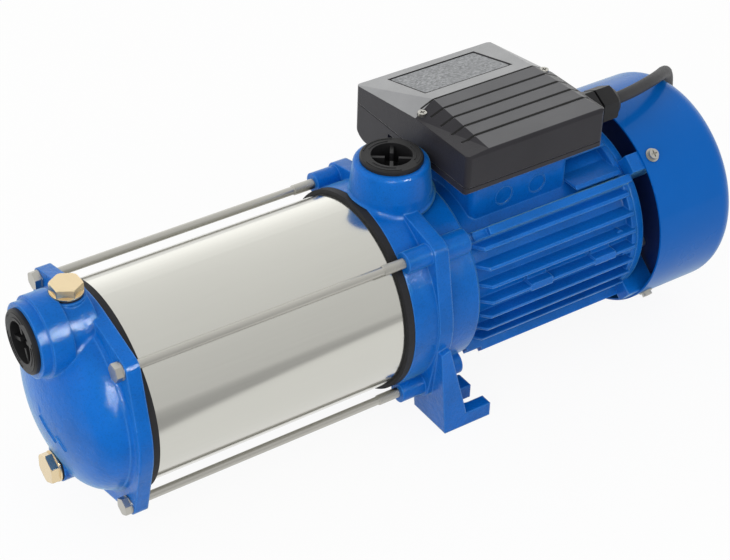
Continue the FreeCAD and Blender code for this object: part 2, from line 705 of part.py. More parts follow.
def discharge_bracket():
    wall_rear = BRACKET_WALL_X + BRACKET_WALL
    housing_end = FRONT_BEARING_X + FRONT_WIDTH + HOUSING_LIP
    housing_r = FRONT_OUTER_R + BEARING_HOUSING_WALL
    body = lathe([
        (STACK_REAR, 0),
        (STACK_REAR, SPIGOT_R),
        (BRACKET_FRONT, SPIGOT_R),
        (BRACKET_FRONT, BRACKET_BODY_R),
        (BRACKET_FLANGE_FRONT, BRACKET_BODY_R),
        (BRACKET_FLANGE_FRONT, BRACKET_R),
        (BRACKET_REAR, BRACKET_R),
        (BRACKET_REAR, BRACKET_SPIGOT_R),
        (wall_rear, BRACKET_SPIGOT_R),
        (wall_rear, housing_r),
        (housing_end, housing_r),
        (housing_end, 0)])
    lobes = four(lobe(BRACKET_R, BRACKET_LUG_R, BRACKET_FLANGE_FRONT, BRACKET_REAR))
    rod_lug = disc(BRACKET_FRONT, ROD_LUG_R, BRACKET_FLANGE_FRONT - BRACKET_FRONT,
                   TIE_OFFSET, TIE_OFFSET)
    neck_steps = [(0, NECK_ROOT_Z), (NECK_BASE_R, NECK_ROOT_Z), (NECK_BASE_R, NECK_SHOULDER)]
    top = DISCHARGE_TOP - NECK_ROUNDING
    neck_steps += bend(NECK_TOP_R - NECK_ROUNDING, top, NECK_ROUNDING, 0, 90) + [(0, DISCHARGE_TOP)]
    wire = steps_to_wire(neck_steps, lambda r, z: V(r, 0, z))
    neck = Part.Face(wire).revolve(CENTRE, Z, 360)
    neck = neck.fuse(disc(-2 * NECK_BASE_R, BRACKET_BODY_R, 4 * NECK_BASE_R))
    roots = [edge for edge in neck.Edges if on_cylinder(edge, 0, NECK_BASE_R, Z)]
    neck = neck.makeFillet(NECK_FILLET, roots)
    in_front = disc(BRACKET_FRONT - 2 * NECK_BASE_R, SEAL_R + CAST_GAP, 2 * NECK_BASE_R)
    behind = disc(BRACKET_REAR, BRACKET_BODY_R + SLIP, 2 * NECK_BASE_R)
    neck = neck.cut([in_front, behind])
    chamber = lathe([
        (STACK_REAR - 1, 0),
        (STACK_REAR - 1, SPIGOT_BORE),
        (BRACKET_WALL_X, BRACKET_CHAMBER_R),
        (BRACKET_WALL_X, SEAL_HOUSING_R),
        (SEAL_SEAT_X, SEAL_SEAT_R + 5),
        (SEAL_SEAT_X, 0)])
    recess = disc(SEAL_SEAT_X - 1, SEAL_SEAT_R + SLIP, SEAL_SEAT_LENGTH + 1)
    bearing = disc(FRONT_BEARING_X, FRONT_OUTER_R + SLIP, 2 * FRONT_WIDTH)
    shaft_hole = disc(SEAL_SEAT_X, FRONT_BORE_R + HOUSING_LIP, 2 * FRONT_OUTER_R)
    port = Part.makeCylinder(PORT_R, PORT_DEPTH + 5, V(0, 0, DISCHARGE_TOP - PORT_DEPTH))
    throat = Part.makeCylinder(THROAT_R, THROAT_LENGTH, V(THROAT_TOP[0], 0, THROAT_TOP[1]),
                               V(THROAT_LEAN, 0, -1))
    bolt_hole = disc(BRACKET_FRONT - 1, TIE_THREAD_R + SLIP, TIE_ENGAGED + 2, TIE_OFFSET, TIE_OFFSET)
    screw_hole = disc(BRACKET_REAR - FRAME_SCREW_ENGAGED - 2, FRAME_SCREW_R + SLIP,
                      FRAME_SCREW_ENGAGED + 3, FRAME_SCREW_OFFSET, FRAME_SCREW_OFFSET)
    body = body.fuse(lobes + four(rod_lug) + [neck, foot(-1), foot(1)])
    cuts = [chamber, recess, bearing, shaft_hole, port, throat] + four(bolt_hole) + four(screw_hole)
    return body.cut(cuts).removeSplitter()


# Hydraulic stages

def vane(start_x, width, inner, outer, lead):
    """Curved blade between two radii; it leans back by lead degrees."""
    def rib(offset):
        points = []
        for share in (0.0, 0.5, 1.0):
            radius = inner + (outer - inner) * share
            angle = math.radians(lead * share ** 1.4) + offset / radius
            points.append(V(start_x, radius * math.sin(angle), radius * math.cos(angle)))
        return points
    a = rib(-VANE_THICKNESS / 2)
    b = rib(VANE_THICKNESS / 2)
    wire = Part.Wire([
        Part.Arc(a[0], a[1], a[2]).toShape(),
        Part.makeLine(a[2], b[2]),
        Part.Arc(b[2], b[1], b[0]).toShape(),
        Part.makeLine(b[0], a[0])])
    return Part.Face(wire).extrude(V(width, 0, 0))


def impeller():
    """Closed impeller whose front shroud starts at x = 0."""
    back = IMPELLER_WIDTH - IMPELLER_SHROUD
    eye_outer = IMPELLER_EYE_R + IMPELLER_EYE_WALL
    front = lathe([
        (-IMPELLER_OFFSET - 1.4, IMPELLER_EYE_R),
        (-IMPELLER_OFFSET - 1.4, eye_outer),
        (0, eye_outer),
        (0, IMPELLER_R),
        (IMPELLER_SHROUD, IMPELLER_R),
        (IMPELLER_SHROUD, IMPELLER_EYE_R)])
    rear = lathe([
        (IMPELLER_SHROUD, SHAFT_R + SLIP),
        (IMPELLER_SHROUD, IMPELLER_HUB_R),
        (back, IMPELLER_HUB_R),
        (back, IMPELLER_R),
        (IMPELLER_WIDTH, IMPELLER_R),
        (IMPELLER_WIDTH, SHAFT_R + SLIP)])
    blade = vane(IMPELLER_SHROUD - 0.5, back - IMPELLER_SHROUD + 1,
                 IMPELLER_EYE_R + 2, IMPELLER_R - 1, IMPELLER_LEAD)
    return fused([front, rear] + around(blade, IMPELLER_VANES))


def stage_casing():
    """Casing of one stage with its return vanes; the stage starts at x = 0."""
    end = STAGE_PITCH
    eye = IMPELLER_EYE_R + IMPELLER_EYE_WALL + EYE_GAP
    shell = lathe([
        (0, STAGE_R - STAGE_WALL),
        (0, STAGE_R),
        (end, STAGE_R),
        (end, eye),
        (end - STAGE_WALL, eye),
        (end - STAGE_WALL, STAGE_R - STAGE_WALL)])
    plate_x = IMPELLER_OFFSET + IMPELLER_WIDTH + 1.5
    plate = ring(plate_x, IMPELLER_R + 2, SPACER_R + EYE_GAP, STAGE_WALL)
    width = end - STAGE_WALL - plate_x - STAGE_WALL + 1
    blade = vane(plate_x + STAGE_WALL - 0.5, width, eye + 1, STAGE_R - STAGE_WALL + 0.4, RETURN_LEAD)
    return fused([shell, plate] + around(blade, RETURN_VANES))


def inlet_plate():
    eye = IMPELLER_EYE_R + IMPELLER_EYE_WALL + EYE_GAP
    return ring(STACK_FRONT, STAGE_R, eye, INLET_PLATE)


def stage_start(index):
    return STACK_FRONT + INLET_PLATE + index * STAGE_PITCH


def spacers():
    """Sleeves between the impellers, and one behind the last of them."""
    sleeves = []
    for index in range(STAGES):
        start = stage_start(index) + IMPELLER_OFFSET + IMPELLER_WIDTH
        end = stage_start(index + 1) + IMPELLER_OFFSET + IMPELLER_SHROUD
        if index == STAGES - 1:
            end = SEAL_SEAT_X - SEAL_FACE_LENGTH - SPRING_LENGTH
        sleeves.append(ring(start, SPACER_R, SHAFT_R + SLIP, end - start))
    return Part.makeCompound(sleeves)


def impeller_nut():
    seat = stage_start(0) + IMPELLER_OFFSET + IMPELLER_SHROUD
    washer = disc(seat - 1.5, 11.0, 1.5)
    nut = hexagon(V(seat - 1.5, 0, 0), X * -1, 17.0, 3.8)
    return washer.fuse(nut).cut(disc(seat - 20, SHAFT_R + SLIP, 40)).removeSplitter()


# Shaft, seal and bearings

def shaft():
    fan_seat = REAR_BEARING_X + REAR_WIDTH
    return lathe([
        (SHAFT_FRONT, 0),
        (SHAFT_FRONT, SHAFT_R - 1),
        (SHAFT_FRONT + 1, SHAFT_R),
        (FRONT_BEARING_X - 2, SHAFT_R),
        (FRONT_BEARING_X - 2, FRONT_BORE_R),
        (FRONT_BEARING_X + FRONT_WIDTH, FRONT_BORE_R),
        (FRONT_BEARING_X + FRONT_WIDTH, ROTOR_SEAT_R),
        (REAR_BEARING_X, ROTOR_SEAT_R),
        (REAR_BEARING_X, REAR_BORE_R),
        (fan_seat, REAR_BORE_R),
        (fan_seat, SHAFT_R),
        (FAN_START + FAN_WIDTH - 1, SHAFT_R),
        (FAN_START + FAN_WIDTH, SHAFT_R - 1),
        (FAN_START + FAN_WIDTH, 0)])


def seal_seat():
    return ring(SEAL_SEAT_X, SEAL_SEAT_R, SHAFT_R + 1.0, SEAL_SEAT_LENGTH)


def seal_rotary():
    front = SEAL_SEAT_X - SEAL_FACE_LENGTH
    return lathe([
        (front, SHAFT_R + SLIP),
        (front, SEAL_FACE_R),
        (SEAL_SEAT_X - 4, SEAL_FACE_R),
        (SEAL_SEAT_X - 4, SEAL_FACE_R - 1.5),
        (SEAL_SEAT_X, SEAL_FACE_R - 1.5),
        (SEAL_SEAT_X, SHAFT_R + SLIP)])


def seal_spring():
    pitch = (SPRING_LENGTH - 2 * SPRING_WIRE_R - 0.1) / SPRING_TURNS
    helix = Part.makeHelix(pitch, pitch * SPRING_TURNS, SPRING_R)
    section = Part.Wire(Part.makePolygon([
        V(SPRING_R - SPRING_WIRE_R, 0, 0), V(SPRING_R, 0, -SPRING_WIRE_R),
        V(SPRING_R + SPRING_WIRE_R, 0, 0), V(SPRING_R, 0, SPRING_WIRE_R),
        V(SPRING_R - SPRING_WIRE_R, 0, 0)]).Edges)
    spring = Part.Wire(helix).makePipeShell([section], True, True)
    spring.rotate(CENTRE, Y, 90)
    start = SEAL_SEAT_X - SEAL_FACE_LENGTH - SPRING_LENGTH
    spring.translate(V(start + SPRING_WIRE_R + 0.05, 0, 0))
    return spring


def water_slinger():
    start = SEAL_SEAT_X + SEAL_SEAT_LENGTH + 0.5
    return ring(start, SHAFT_R + 2.0, SHAFT_R + SLIP, 5.0)


def bearing(x, bore, outer, width, ball_r):
    """Outer ring, inner ring and balls of a deep-groove ball bearing."""
    pitch_r = (bore + outer) / 2
    middle = x + width / 2
    shoulder = 0.45 * ball_r
    groove = Part.makeTorus(pitch_r, ball_r + BALL_GAP, V(middle, 0, 0), X)
    outer_ring = ring(x, outer, pitch_r + shoulder, width).cut(groove)
    inner_ring = ring(x, pitch_r - shoulder, bore + SLIP, width).cut(groove)
    ball = Part.makeSphere(ball_r, V(middle, 0, pitch_r))
    return outer_ring, inner_ring, Part.makeCompound(around(ball, BALLS))


def wave_spring():
    return ring(REAR_BEARING_X - 1.0, REAR_OUTER_R - 0.5, REAR_OUTER_R - 3.5, 1.0)


# Motor

def fin(height):
    """One horizontal fin on both sides of the frame, thicker at its root."""
    half = FIN_THICKNESS / 2
    reach = FIN_TIP_R + 2
    return prism_x([
        (-reach, height - half * 0.8),
        (reach, height - half * 0.8),
        (reach, height + half * 0.8),
        (-reach, height + half * 0.8)], FIN_START - 8, FIN_END + 4)


def upright_fin(offset):
    half = FIN_THICKNESS / 2
    return prism_x([
        (offset - half, -FIN_TIP_R - 2),
        (offset + half, -FIN_TIP_R - 2),
        (offset + half, -FRAME_BORE_R + 10),
        (offset - half, -FRAME_BORE_R + 10)], FIN_START - 8, FIN_END + 4)


def rail():
    half = RAIL_THICKNESS / 2
    bar = prism_x([
        (-half, FRAME_BORE_R + 1),
        (half, FRAME_BORE_R + 1),
        (half - 1.5, RAIL_R),
        (-half + 1.5, RAIL_R)], FRAME_RING_END - 4, FRAME_REAR)
    bar.rotate(CENTRE, X, 45)
    return bar


def pad_block(wall, bottom, top):
    """Upright block over the pad, moved inwards by wall."""
    return Part.makeBox(PAD_REAR - PAD_FRONT - 2 * wall, 2 * (PAD_HALF - wall), top - bottom,
                        V(PAD_FRONT + wall, wall - PAD_HALF, bottom))


def wire_way():
    return Part.makeCylinder(WIRE_WAY_R, PAD_TOP, V(WIRE_WAY_X, 0, PAD_HALF))


def pad():
    hollow = pad_block(PAD_WALL, FRAME_TUBE_R + PAD_FLOOR, PAD_TOP + 1)
    marks = []
    for x in PAD_DISC_PLACES:
        marks.append(Part.makeCylinder(PAD_DISC_R, PAD_DISC_DEPTH, V(x, -PAD_HALF, PAD_DISC_Z), Y))
    block = upright_rounded(PAD_FRONT, PAD_REAR, -PAD_HALF, PAD_HALF, PAD_HALF, PAD_TOP, PAD_CORNER)
    return block, [hollow, wire_way()] + marks


def ejector_flats():
    """Thick places on one fin, each with a web up to the fin above."""
    level = FIN_TOP - FIN_PITCH * EJECTOR_FIN
    pieces = []
    for x in EJECTOR_PLACES:
        pieces.append(Part.makeBox(EJECTOR_LENGTH, 2 * FIN_TIP_R + 4, EJECTOR_WIDTH,
                                   V(x - EJECTOR_LENGTH / 2, -FIN_TIP_R - 2, level - EJECTOR_WIDTH / 2)))
        web = Part.makeBox(EJECTOR_LENGTH - 2, 2 * FIN_TIP_R + 4, FIN_PITCH,
                           V(x - EJECTOR_LENGTH / 2 + 1, -FIN_TIP_R - 2, level))
        pieces.append(web.common(disc(FIN_START, FIN_TIP_R - EJECTOR_SUNK, FIN_END - FIN_START)))
    return pieces


def motor_frame():
    tube = lathe([
        (BRACKET_REAR, 0),
        (BRACKET_REAR, FRAME_RING_R),
        (FRAME_RING_END - 3, FRAME_RING_R),
        (FRAME_RING_END, FRAME_RING_R - 3),
        (FRAME_RING_END + 2, FRAME_TUBE_R),
        (FRAME_REAR - 4, FRAME_TUBE_R),
        (FRAME_REAR - 4, SHIELD_R),
        (FRAME_REAR, SHIELD_R),
        (FRAME_REAR, 0)])
    envelope = lathe([
        (FRAME_RING_END, 0),
        (FRAME_RING_END, FRAME_TUBE_R),
        (FIN_START, FIN_TIP_R),
        (FIN_END, FIN_TIP_R),
        (FIN_END + 3, FRAME_TUBE_R),
        (FIN_END + 3, 0)])
    fins = [fin(FIN_TOP - FIN_PITCH * index) for index in range(FIN_COUNT)]
    fins += [upright_fin(FIN_PITCH * index) for index in range(-3, 4)]
    upper = [fin(FIN_TOP + FIN_PITCH * index) for index in (1, 2)]
    behind_pad = disc(PAD_REAR, FIN_TIP_R + 1, FRAME_REAR - PAD_REAR)
    upper = [shape.common(behind_pad) for shape in upper]
    fins = [shape.common(envelope) for shape in fins + upper + ejector_flats()]
    lug = disc(BRACKET_REAR, FRAME_LUG_R, FRAME_LUG_END - BRACKET_REAR,
               FRAME_SCREW_OFFSET, FRAME_SCREW_OFFSET)
    screw_boss_start = FRAME_REAR - SHIELD_SCREW_ENGAGED - 2
    screw_boss = disc(screw_boss_start, SHIELD_SCREW_BOSS_R, FRAME_REAR - screw_boss_start,
                      0, SHIELD_SCREW_PLACE)
    thread = disc(FRAME_REAR - SHIELD_SCREW_ENGAGED - 1, SHIELD_SCREW_R + SLIP, SHIELD_SCREW_ENGAGED + 2,
                  0, SHIELD_SCREW_PLACE)
    block, hollows = pad()
    body = tube.fuse(fins + four(rail()) + four(lug) + four(screw_boss) + [block])
    bore = disc(BRACKET_REAR - 1, FRAME_BORE_R, FRAME_REAR - BRACKET_REAR + 2)
    mouth = disc(BRACKET_REAR - 1, BRACKET_SPIGOT_R + SLIP, 12)
    screw_hole = disc(BRACKET_REAR - 1, FRAME_SCREW_R + CLEARANCE, 40,
                      FRAME_SCREW_OFFSET, FRAME_SCREW_OFFSET)
    head_room = disc(FRAME_LUG_END - FRAME_SCREW_SUNK, FRAME_SCREW_HEAD_R + CLEARANCE,
                     FRAME_SCREW_SUNK + 9, FRAME_SCREW_OFFSET, FRAME_SCREW_OFFSET)
    cuts = [bore, mouth] + hollows + four(screw_hole) + four(head_room) + four(thread)
    return body.cut(cuts).removeSplitter()


def frame_screws():
    """Socket screws sunk in the lugs of the motor frame."""
    seat = FRAME_LUG_END - FRAME_SCREW_SUNK
    start = BRACKET_REAR - FRAME_SCREW_ENGAGED
    head = disc(seat, FRAME_SCREW_HEAD_R, FRAME_SCREW_HEAD, FRAME_SCREW_OFFSET, FRAME_SCREW_OFFSET)
    socket = hexagon(V(seat + FRAME_SCREW_HEAD / 2, FRAME_SCREW_OFFSET, FRAME_SCREW_OFFSET), X,
                     FRAME_SCREW_HEAD_R, FRAME_SCREW_HEAD)
    shank = disc(start, FRAME_SCREW_R, seat - start, FRAME_SCREW_OFFSET, FRAME_SCREW_OFFSET)
    return Part.makeCompound(four(fused([head, shank]).cut(socket)))


def stator_core():
    return ring(STATOR_START, FRAME_BORE_R - SLIP, STATOR_BORE_R, STATOR_LENGTH)


def stator_windings():
    coils = []
    rounding = (WINDING_OUTER_R - WINDING_INNER_R) / 4
    for start, way in ((STATOR_START, -1), (STATOR_START + STATOR_LENGTH, 1)):
        end = start + way * WINDING_OVERHANG
        coils.append(lathe([
            (start, WINDING_INNER_R),
            (start, WINDING_OUTER_R - rounding),
            (end - way * rounding, WINDING_OUTER_R),
            (end, WINDING_OUTER_R - rounding),
            (end, WINDING_INNER_R + rounding),
            (end - way * rounding, WINDING_INNER_R)]))
    return Part.makeCompound(coils)


def rotor_core():
    outer = STATOR_BORE_R - AIR_GAP
    start = STATOR_START - END_RING
    end = STATOR_START + STATOR_LENGTH + END_RING
    return lathe([
        (start, ROTOR_SEAT_R + 6),
        (start, outer - 2),
        (STATOR_START, outer - 2),
        (STATOR_START, outer),
        (STATOR_START + STATOR_LENGTH, outer),
        (STATOR_START + STATOR_LENGTH, outer - 2),
        (end, outer - 2),
        (end, ROTOR_SEAT_R + 6),
        (STATOR_START + STATOR_LENGTH, ROTOR_SEAT_R + 6),
        (STATOR_START + STATOR_LENGTH, ROTOR_SEAT_R + SLIP),
        (STATOR_START, ROTOR_SEAT_R + SLIP),
        (STATOR_START, ROTOR_SEAT_R + 6)])


def cover_screw_hole():
    """Hole for one screw of the fan cover, drawn at the top."""
    length = COVER_SCREW_LENGTH + 3
    return Part.makeCylinder(COVER_SCREW_R + SLIP, length, V(COVER_SCREW_X, 0, COVER_R + 2 - length))


def end_shield():
    bearing_end = REAR_BEARING_X + REAR_WIDTH
    plate_end = FRAME_REAR + SHIELD_THICKNESS
    plate = lathe([
        (REAR_BEARING_X - 1, REAR_OUTER_R + SLIP),
        (REAR_BEARING_X - 1, REAR_OUTER_R + 4),
        (FRAME_REAR, REAR_OUTER_R + 6),
        (FRAME_REAR, FRAME_BORE_R - 3),
        (FRAME_REAR - 3, FRAME_BORE_R - 3),
        (FRAME_REAR - 3, FRAME_BORE_R - SLIP),
        (FRAME_REAR, FRAME_BORE_R - SLIP),
        (FRAME_REAR, SHIELD_R),
        (plate_end, SHIELD_R),
        (plate_end, REAR_OUTER_R + 6),
        (bearing_end + 2, REAR_OUTER_R + 4),
        (bearing_end + 2, SHAFT_R + 2.5),
        (bearing_end, SHAFT_R + 2.5),
        (bearing_end, REAR_OUTER_R + SLIP)])
    boss_r = COVER_R - COVER_SHEET - SLIP
    boss_root = SHIELD_R - SHIELD_BOSS_WIDTH
    boss = Part.makeBox(SHIELD_BOSS_END - FRAME_REAR, SHIELD_BOSS_WIDTH, boss_r - boss_root,
                        V(FRAME_REAR, -SHIELD_BOSS_WIDTH / 2, boss_root))
    boss = boss.common(disc(FRAME_REAR, boss_r, SHIELD_BOSS_END - FRAME_REAR))
    boss = boss.cut(cover_screw_hole())
    boss.rotate(CENTRE, X, COVER_SCREW_ANGLE)
    screw_hole = disc(FRAME_REAR - 20, SHIELD_SCREW_R + CLEARANCE, 40, 0, SHIELD_SCREW_PLACE)
    return fused([plate] + four(boss)).cut(four(screw_hole))


def shield_screws():
    seat = FRAME_REAR + SHIELD_THICKNESS
    start = FRAME_REAR - SHIELD_SCREW_ENGAGED
    head = hexagon(V(seat, 0, SHIELD_SCREW_PLACE), X, SHIELD_SCREW_FLATS, SHIELD_SCREW_HEAD)
    shank = disc(start, SHIELD_SCREW_R, seat - start, 0, SHIELD_SCREW_PLACE)
    return Part.makeCompound(four(fused([head, shank])))


def fan():
    start = FAN_START
    hub = ring(start - 4, FAN_HUB_R, SHAFT_R + SLIP, FAN_WIDTH + 2)
    web = ring(start, FAN_R, SHAFT_R + SLIP, FAN_SHEET)
    blade = Part.makeBox(FAN_WIDTH - 4, FAN_SHEET, FAN_R - FAN_HUB_R - 4,
                         V(start + 1, -FAN_SHEET / 2, FAN_HUB_R + 4))
    return fused([hub, web] + around(blade, FAN_BLADES))


def fan_cover():
    def skin(inset, front):
        corner = bend(COVER_REAR - COVER_CORNER, COVER_R - COVER_CORNER, COVER_CORNER - inset, 90, 0)
        return lathe([(front, 0), (front, COVER_R - inset)] + corner + [(COVER_REAR - inset, 0)])
    cover = skin(0, COVER_RIM).cut(skin(COVER_SHEET, COVER_RIM - 1))
    slots = []
    for index in range(GRILLE_RINGS):
        radius = GRILLE_FIRST_R + GRILLE_PITCH * index
        wedge = ring(COVER_REAR - 5, radius + GRILLE_SLOT / 2, radius - GRILLE_SLOT / 2, 10)
        gap = Part.makeBox(12, GRILLE_SLOT, 2 * COVER_R, V(COVER_REAR - 6, -GRILLE_SLOT / 2, -COVER_R))
        gaps = [gap.copy() for turn in range(GRILLE_SLOTS // 2)]
        for turn, bar in enumerate(gaps):
            bar.rotate(CENTRE, X, 360.0 / GRILLE_SLOTS * turn)
        slots.append(wedge.cut(gaps))
    hole = cover_screw_hole()
    hole.rotate(CENTRE, X, COVER_SCREW_ANGLE)
    return cover.cut(slots + four(hole)).removeSplitter()


def cover_screws():
    """Screws of the fan cover; each washer lies on the curve of the cover."""
    seat = COVER_R + COVER_SCREW_WASHER
    shank = Part.makeCylinder(COVER_SCREW_R, COVER_SCREW_LENGTH,
                              V(COVER_SCREW_X, 0, seat - COVER_SCREW_LENGTH))
    washer = Part.makeCylinder(COVER_SCREW_WASHER_R, COVER_SCREW_WASHER + 1,
                               V(COVER_SCREW_X, 0, COVER_R - 1))
    washer = washer.cut(disc(COVER_SCREW_X - 20, COVER_R, 40))
    head = Part.makeCylinder(COVER_SCREW_HEAD_R, COVER_SCREW_HEAD, V(COVER_SCREW_X, 0, seat))
    cross = Part.makeBox(CROSS_WIDTH, COVER_SCREW_CROSS, COVER_SCREW_HEAD,
                         V(COVER_SCREW_X - CROSS_WIDTH / 2, -COVER_SCREW_CROSS / 2,
                           seat + COVER_SCREW_HEAD / 2))
    other = cross.copy()
    other.rotate(V(COVER_SCREW_X, 0, 0), Z, 90)
    screw = fused([shank, washer, head]).cut([cross, other])
    screw.rotate(CENTRE, X, COVER_SCREW_ANGLE)
    return Part.makeCompound(four(screw))


# Terminal box

def box_section(inset, bottom):
    """Steps of the base in (y, z), moved inwards by inset."""
    floor = PAD_TOP + GASKET + inset
    near = BOX_NEAR + inset
    far = BOX_FAR - inset
    rounding = BULGE_ROUNDING - inset
    edge = max(BOX_EDGE - inset, 0.5)
    steps = [(near, bottom)] + bend(near + edge, floor + edge, edge, 180, 270)
    steps += [(BULGE_START + inset, floor), (BULGE_START + inset, BULGE_BOTTOM + inset)]
    steps += bend(far - rounding, BULGE_BOTTOM + inset + rounding, rounding, 270, 360)
    return steps + [(far, bottom)]


def box_outline(inset, bottom=BULGE_BOTTOM - 1, top=LID_RIDGE_Z + 1):
    """Upright block that rounds the corners of base and lid."""
    return upright_rounded(BOX_FRONT + inset, BOX_REAR - inset, BOX_NEAR + inset, BOX_FAR - inset,
                           bottom, top, BOX_CORNER)


def box_base():
    outer = prism_x(box_section(0, BOX_SEAM), BOX_FRONT, BOX_REAR).common(box_outline(0))
    inner = prism_x(box_section(BOX_WALL, BOX_SEAM + 1), BOX_FRONT + BOX_WALL, BOX_REAR - BOX_WALL)
    groove_bottom = BOX_SEAM - BOX_REVEAL
    groove = box_outline(-1, groove_bottom, BOX_SEAM + 1).cut(box_outline(BOX_REVEAL))
    return outer.cut([inner, wire_way(), groove])


def lid_block(inset, bottom):
    """Solid under the sloping faces of the lid, moved inwards by inset."""
    front = BOX_FRONT + inset
    rear = BOX_REAR - inset
    near = BOX_NEAR + inset
    far = BOX_FAR - inset
    side_z = LID_NEAR_Z - LID_SIDE_DROP - inset
    low = [V(front, near, bottom), V(rear, near, bottom), V(rear, far, bottom), V(front, far, bottom)]
    ridge = [V(BOX_FRONT + LID_RIDGE_FRONT, LID_RIDGE_Y, LID_RIDGE_Z - inset),
             V(BOX_REAR - LID_RIDGE_REAR, LID_RIDGE_Y, LID_RIDGE_Z - inset)]
    brow = [V(BOX_FRONT + LID_NEAR_FRONT, near, LID_NEAR_Z - inset),
            V(BOX_REAR - LID_NEAR_REAR - inset, near, LID_NEAR_Z - inset)]
    side = [V(front, near, side_z), V(rear, near, side_z)]
    end = [V(front, LID_END_Y, LID_END_Z - inset), V(rear, LID_END_Y, LID_END_Z - inset)]
    back = [V(front, far, LID_FAR_Z - inset), V(rear, far, LID_FAR_Z - inset)]
    outlines = [
        low,
        [low[0], low[1], side[1], brow[1], brow[0], side[0]],
        [low[2], low[3], back[0], back[1]],
        [back[0], back[1], ridge[1], ridge[0]],
        [ridge[0], ridge[1], brow[1], brow[0]],
    ]
    for index, corner_a, corner_b in ((0, low[0], low[3]), (1, low[1], low[2])):
        outlines.append([corner_a, side[index], end[index], back[index], corner_b])
        outlines.append([back[index], ridge[index], end[index]])
        outlines.append([end[index], ridge[index], brow[index]])
        outlines.append([end[index], brow[index], side[index]])
    faces = [Part.Face(Part.makePolygon(outline + outline[:1])) for outline in outlines]
    return Part.Solid(Part.makeShell(faces))


def lid_cut(front, rear, near, far, depth, block):
    """Tool that takes an even depth off the top of the lid inside a rectangle."""
    tall = Part.makeBox(rear - front, far - near, LID_RIDGE_Z, V(front, near, BOX_SEAM))
    low = block.copy()
    low.translate(V(0, 0, -depth))
    return tall.cut(low)


def lid_screw_places():
    """Each screw's place and the height of its seat."""
    rise = LID_RIDGE_Z - LID_END_Z
    front_z = LID_END_Z + rise * LID_SCREW_FRONT / LID_RIDGE_FRONT - LID_SCREW_SUNK
    rear_z = LID_END_Z + rise * LID_SCREW_REAR / LID_RIDGE_REAR - LID_SCREW_SUNK
    return [(BOX_FRONT + LID_SCREW_FRONT, LID_END_Y, front_z),
            (BOX_REAR - LID_SCREW_REAR, LID_END_Y, rear_z)]


def box_lid():
    block = lid_block(0, BOX_SEAM)
    lean = math.degrees(math.atan2(LID_RIDGE_Z - LID_NEAR_Z, LID_RIDGE_Y - BOX_NEAR))
    rounded = [(BOX_NEAR, BOX_SEAM)]
    rounded += bend(BOX_NEAR + LID_ROUNDING, LID_NEAR_Z - LID_ROUNDING, LID_ROUNDING, 180, 90 + lean)
    rounded += [(LID_RIDGE_Y, LID_RIDGE_Z), (BOX_FAR, LID_RIDGE_Z), (BOX_FAR, BOX_SEAM)]
    outer = block.common(prism_x(rounded, BOX_FRONT, BOX_REAR)).common(box_outline(0))
    inner = lid_block(BOX_WALL, BOX_SEAM - 1)
    lid = outer.cut(inner)
    posts = []
    cuts = []
    for x, y, seat in lid_screw_places():
        post = Part.makeCylinder(LID_POST_R, seat - BOX_SEAM, V(x, y, BOX_SEAM))
        posts.append(post.common(outer))
        cuts.append(Part.makeCylinder(LID_SCREW_SHANK_R + SLIP, seat - BOX_SEAM + 2,
                                      V(x, y, BOX_SEAM - 1)))
        cuts.append(Part.makeCylinder(LID_SCREW_R + CLEARANCE, LID_RIDGE_Z - seat, V(x, y, seat)))
    for index in range(LID_GROOVES):
        y = LID_RIDGE_Y - LID_GROOVE_PITCH * index
        cuts.append(lid_cut(BOX_FRONT + LID_GROOVE_FRONT, BOX_REAR - LID_GROOVE_REAR,
                            y - LID_GROOVE_WIDTH / 2, y + LID_GROOVE_WIDTH / 2, LID_GROOVE_DEPTH, block))
    plate_front = BOX_FRONT + PLATE_FRONT
    cuts.append(lid_cut(plate_front, plate_front + PLATE_LENGTH, PLATE_NEAR, PLATE_FAR,
                        PLATE_RECESS, block))
    cuts.append(disc(BOX_REAR - 10, GLAND_THREAD_R + SLIP, 20, GLAND_Y, GLAND_Z))
    return lid.fuse(posts).cut(cuts).removeSplitter()


def lid_screws():
    screws = []
    for x, y, seat in lid_screw_places():
        shank = Part.makeCylinder(LID_SCREW_SHANK_R, seat - BOX_SEAM + 2, V(x, y, BOX_SEAM - 2))
        head = Part.makeCylinder(LID_SCREW_R, LID_SCREW_HEAD, V(x, y, seat))
        cross = Part.makeBox(LID_CROSS, CROSS_WIDTH, LID_SCREW_HEAD,
                             V(x - LID_CROSS / 2, y - CROSS_WIDTH / 2, seat + LID_SCREW_HEAD / 2))
        other = cross.copy()
        other.rotate(V(x, y, 0), Z, 90)
        screws.append(fused([shank, head]).cut([cross, other]))
    return Part.makeCompound(screws)


def box_gasket():
    hollow = pad_block(PAD_WALL, PAD_TOP - 1, PAD_TOP + GASKET + 1)
    return pad_block(0, PAD_TOP, PAD_TOP + GASKET).cut(hollow)


def capacitor():
    y = BOX_FAR - BOX_WALL - CAPACITOR_R - CLEARANCE
    z = BULGE_BOTTOM + BOX_WALL + CAPACITOR_R + CLEARANCE
    start = (BOX_FRONT + BOX_REAR - CAPACITOR_LENGTH) / 2
    body = disc(start, CAPACITOR_R, CAPACITOR_LENGTH, y, z)
    tabs = [Part.makeBox(7, 0.8, 6, V(start - 7, y + side * 5, z - 3)) for side in (-1, 1)]
    return fused([body] + tabs)


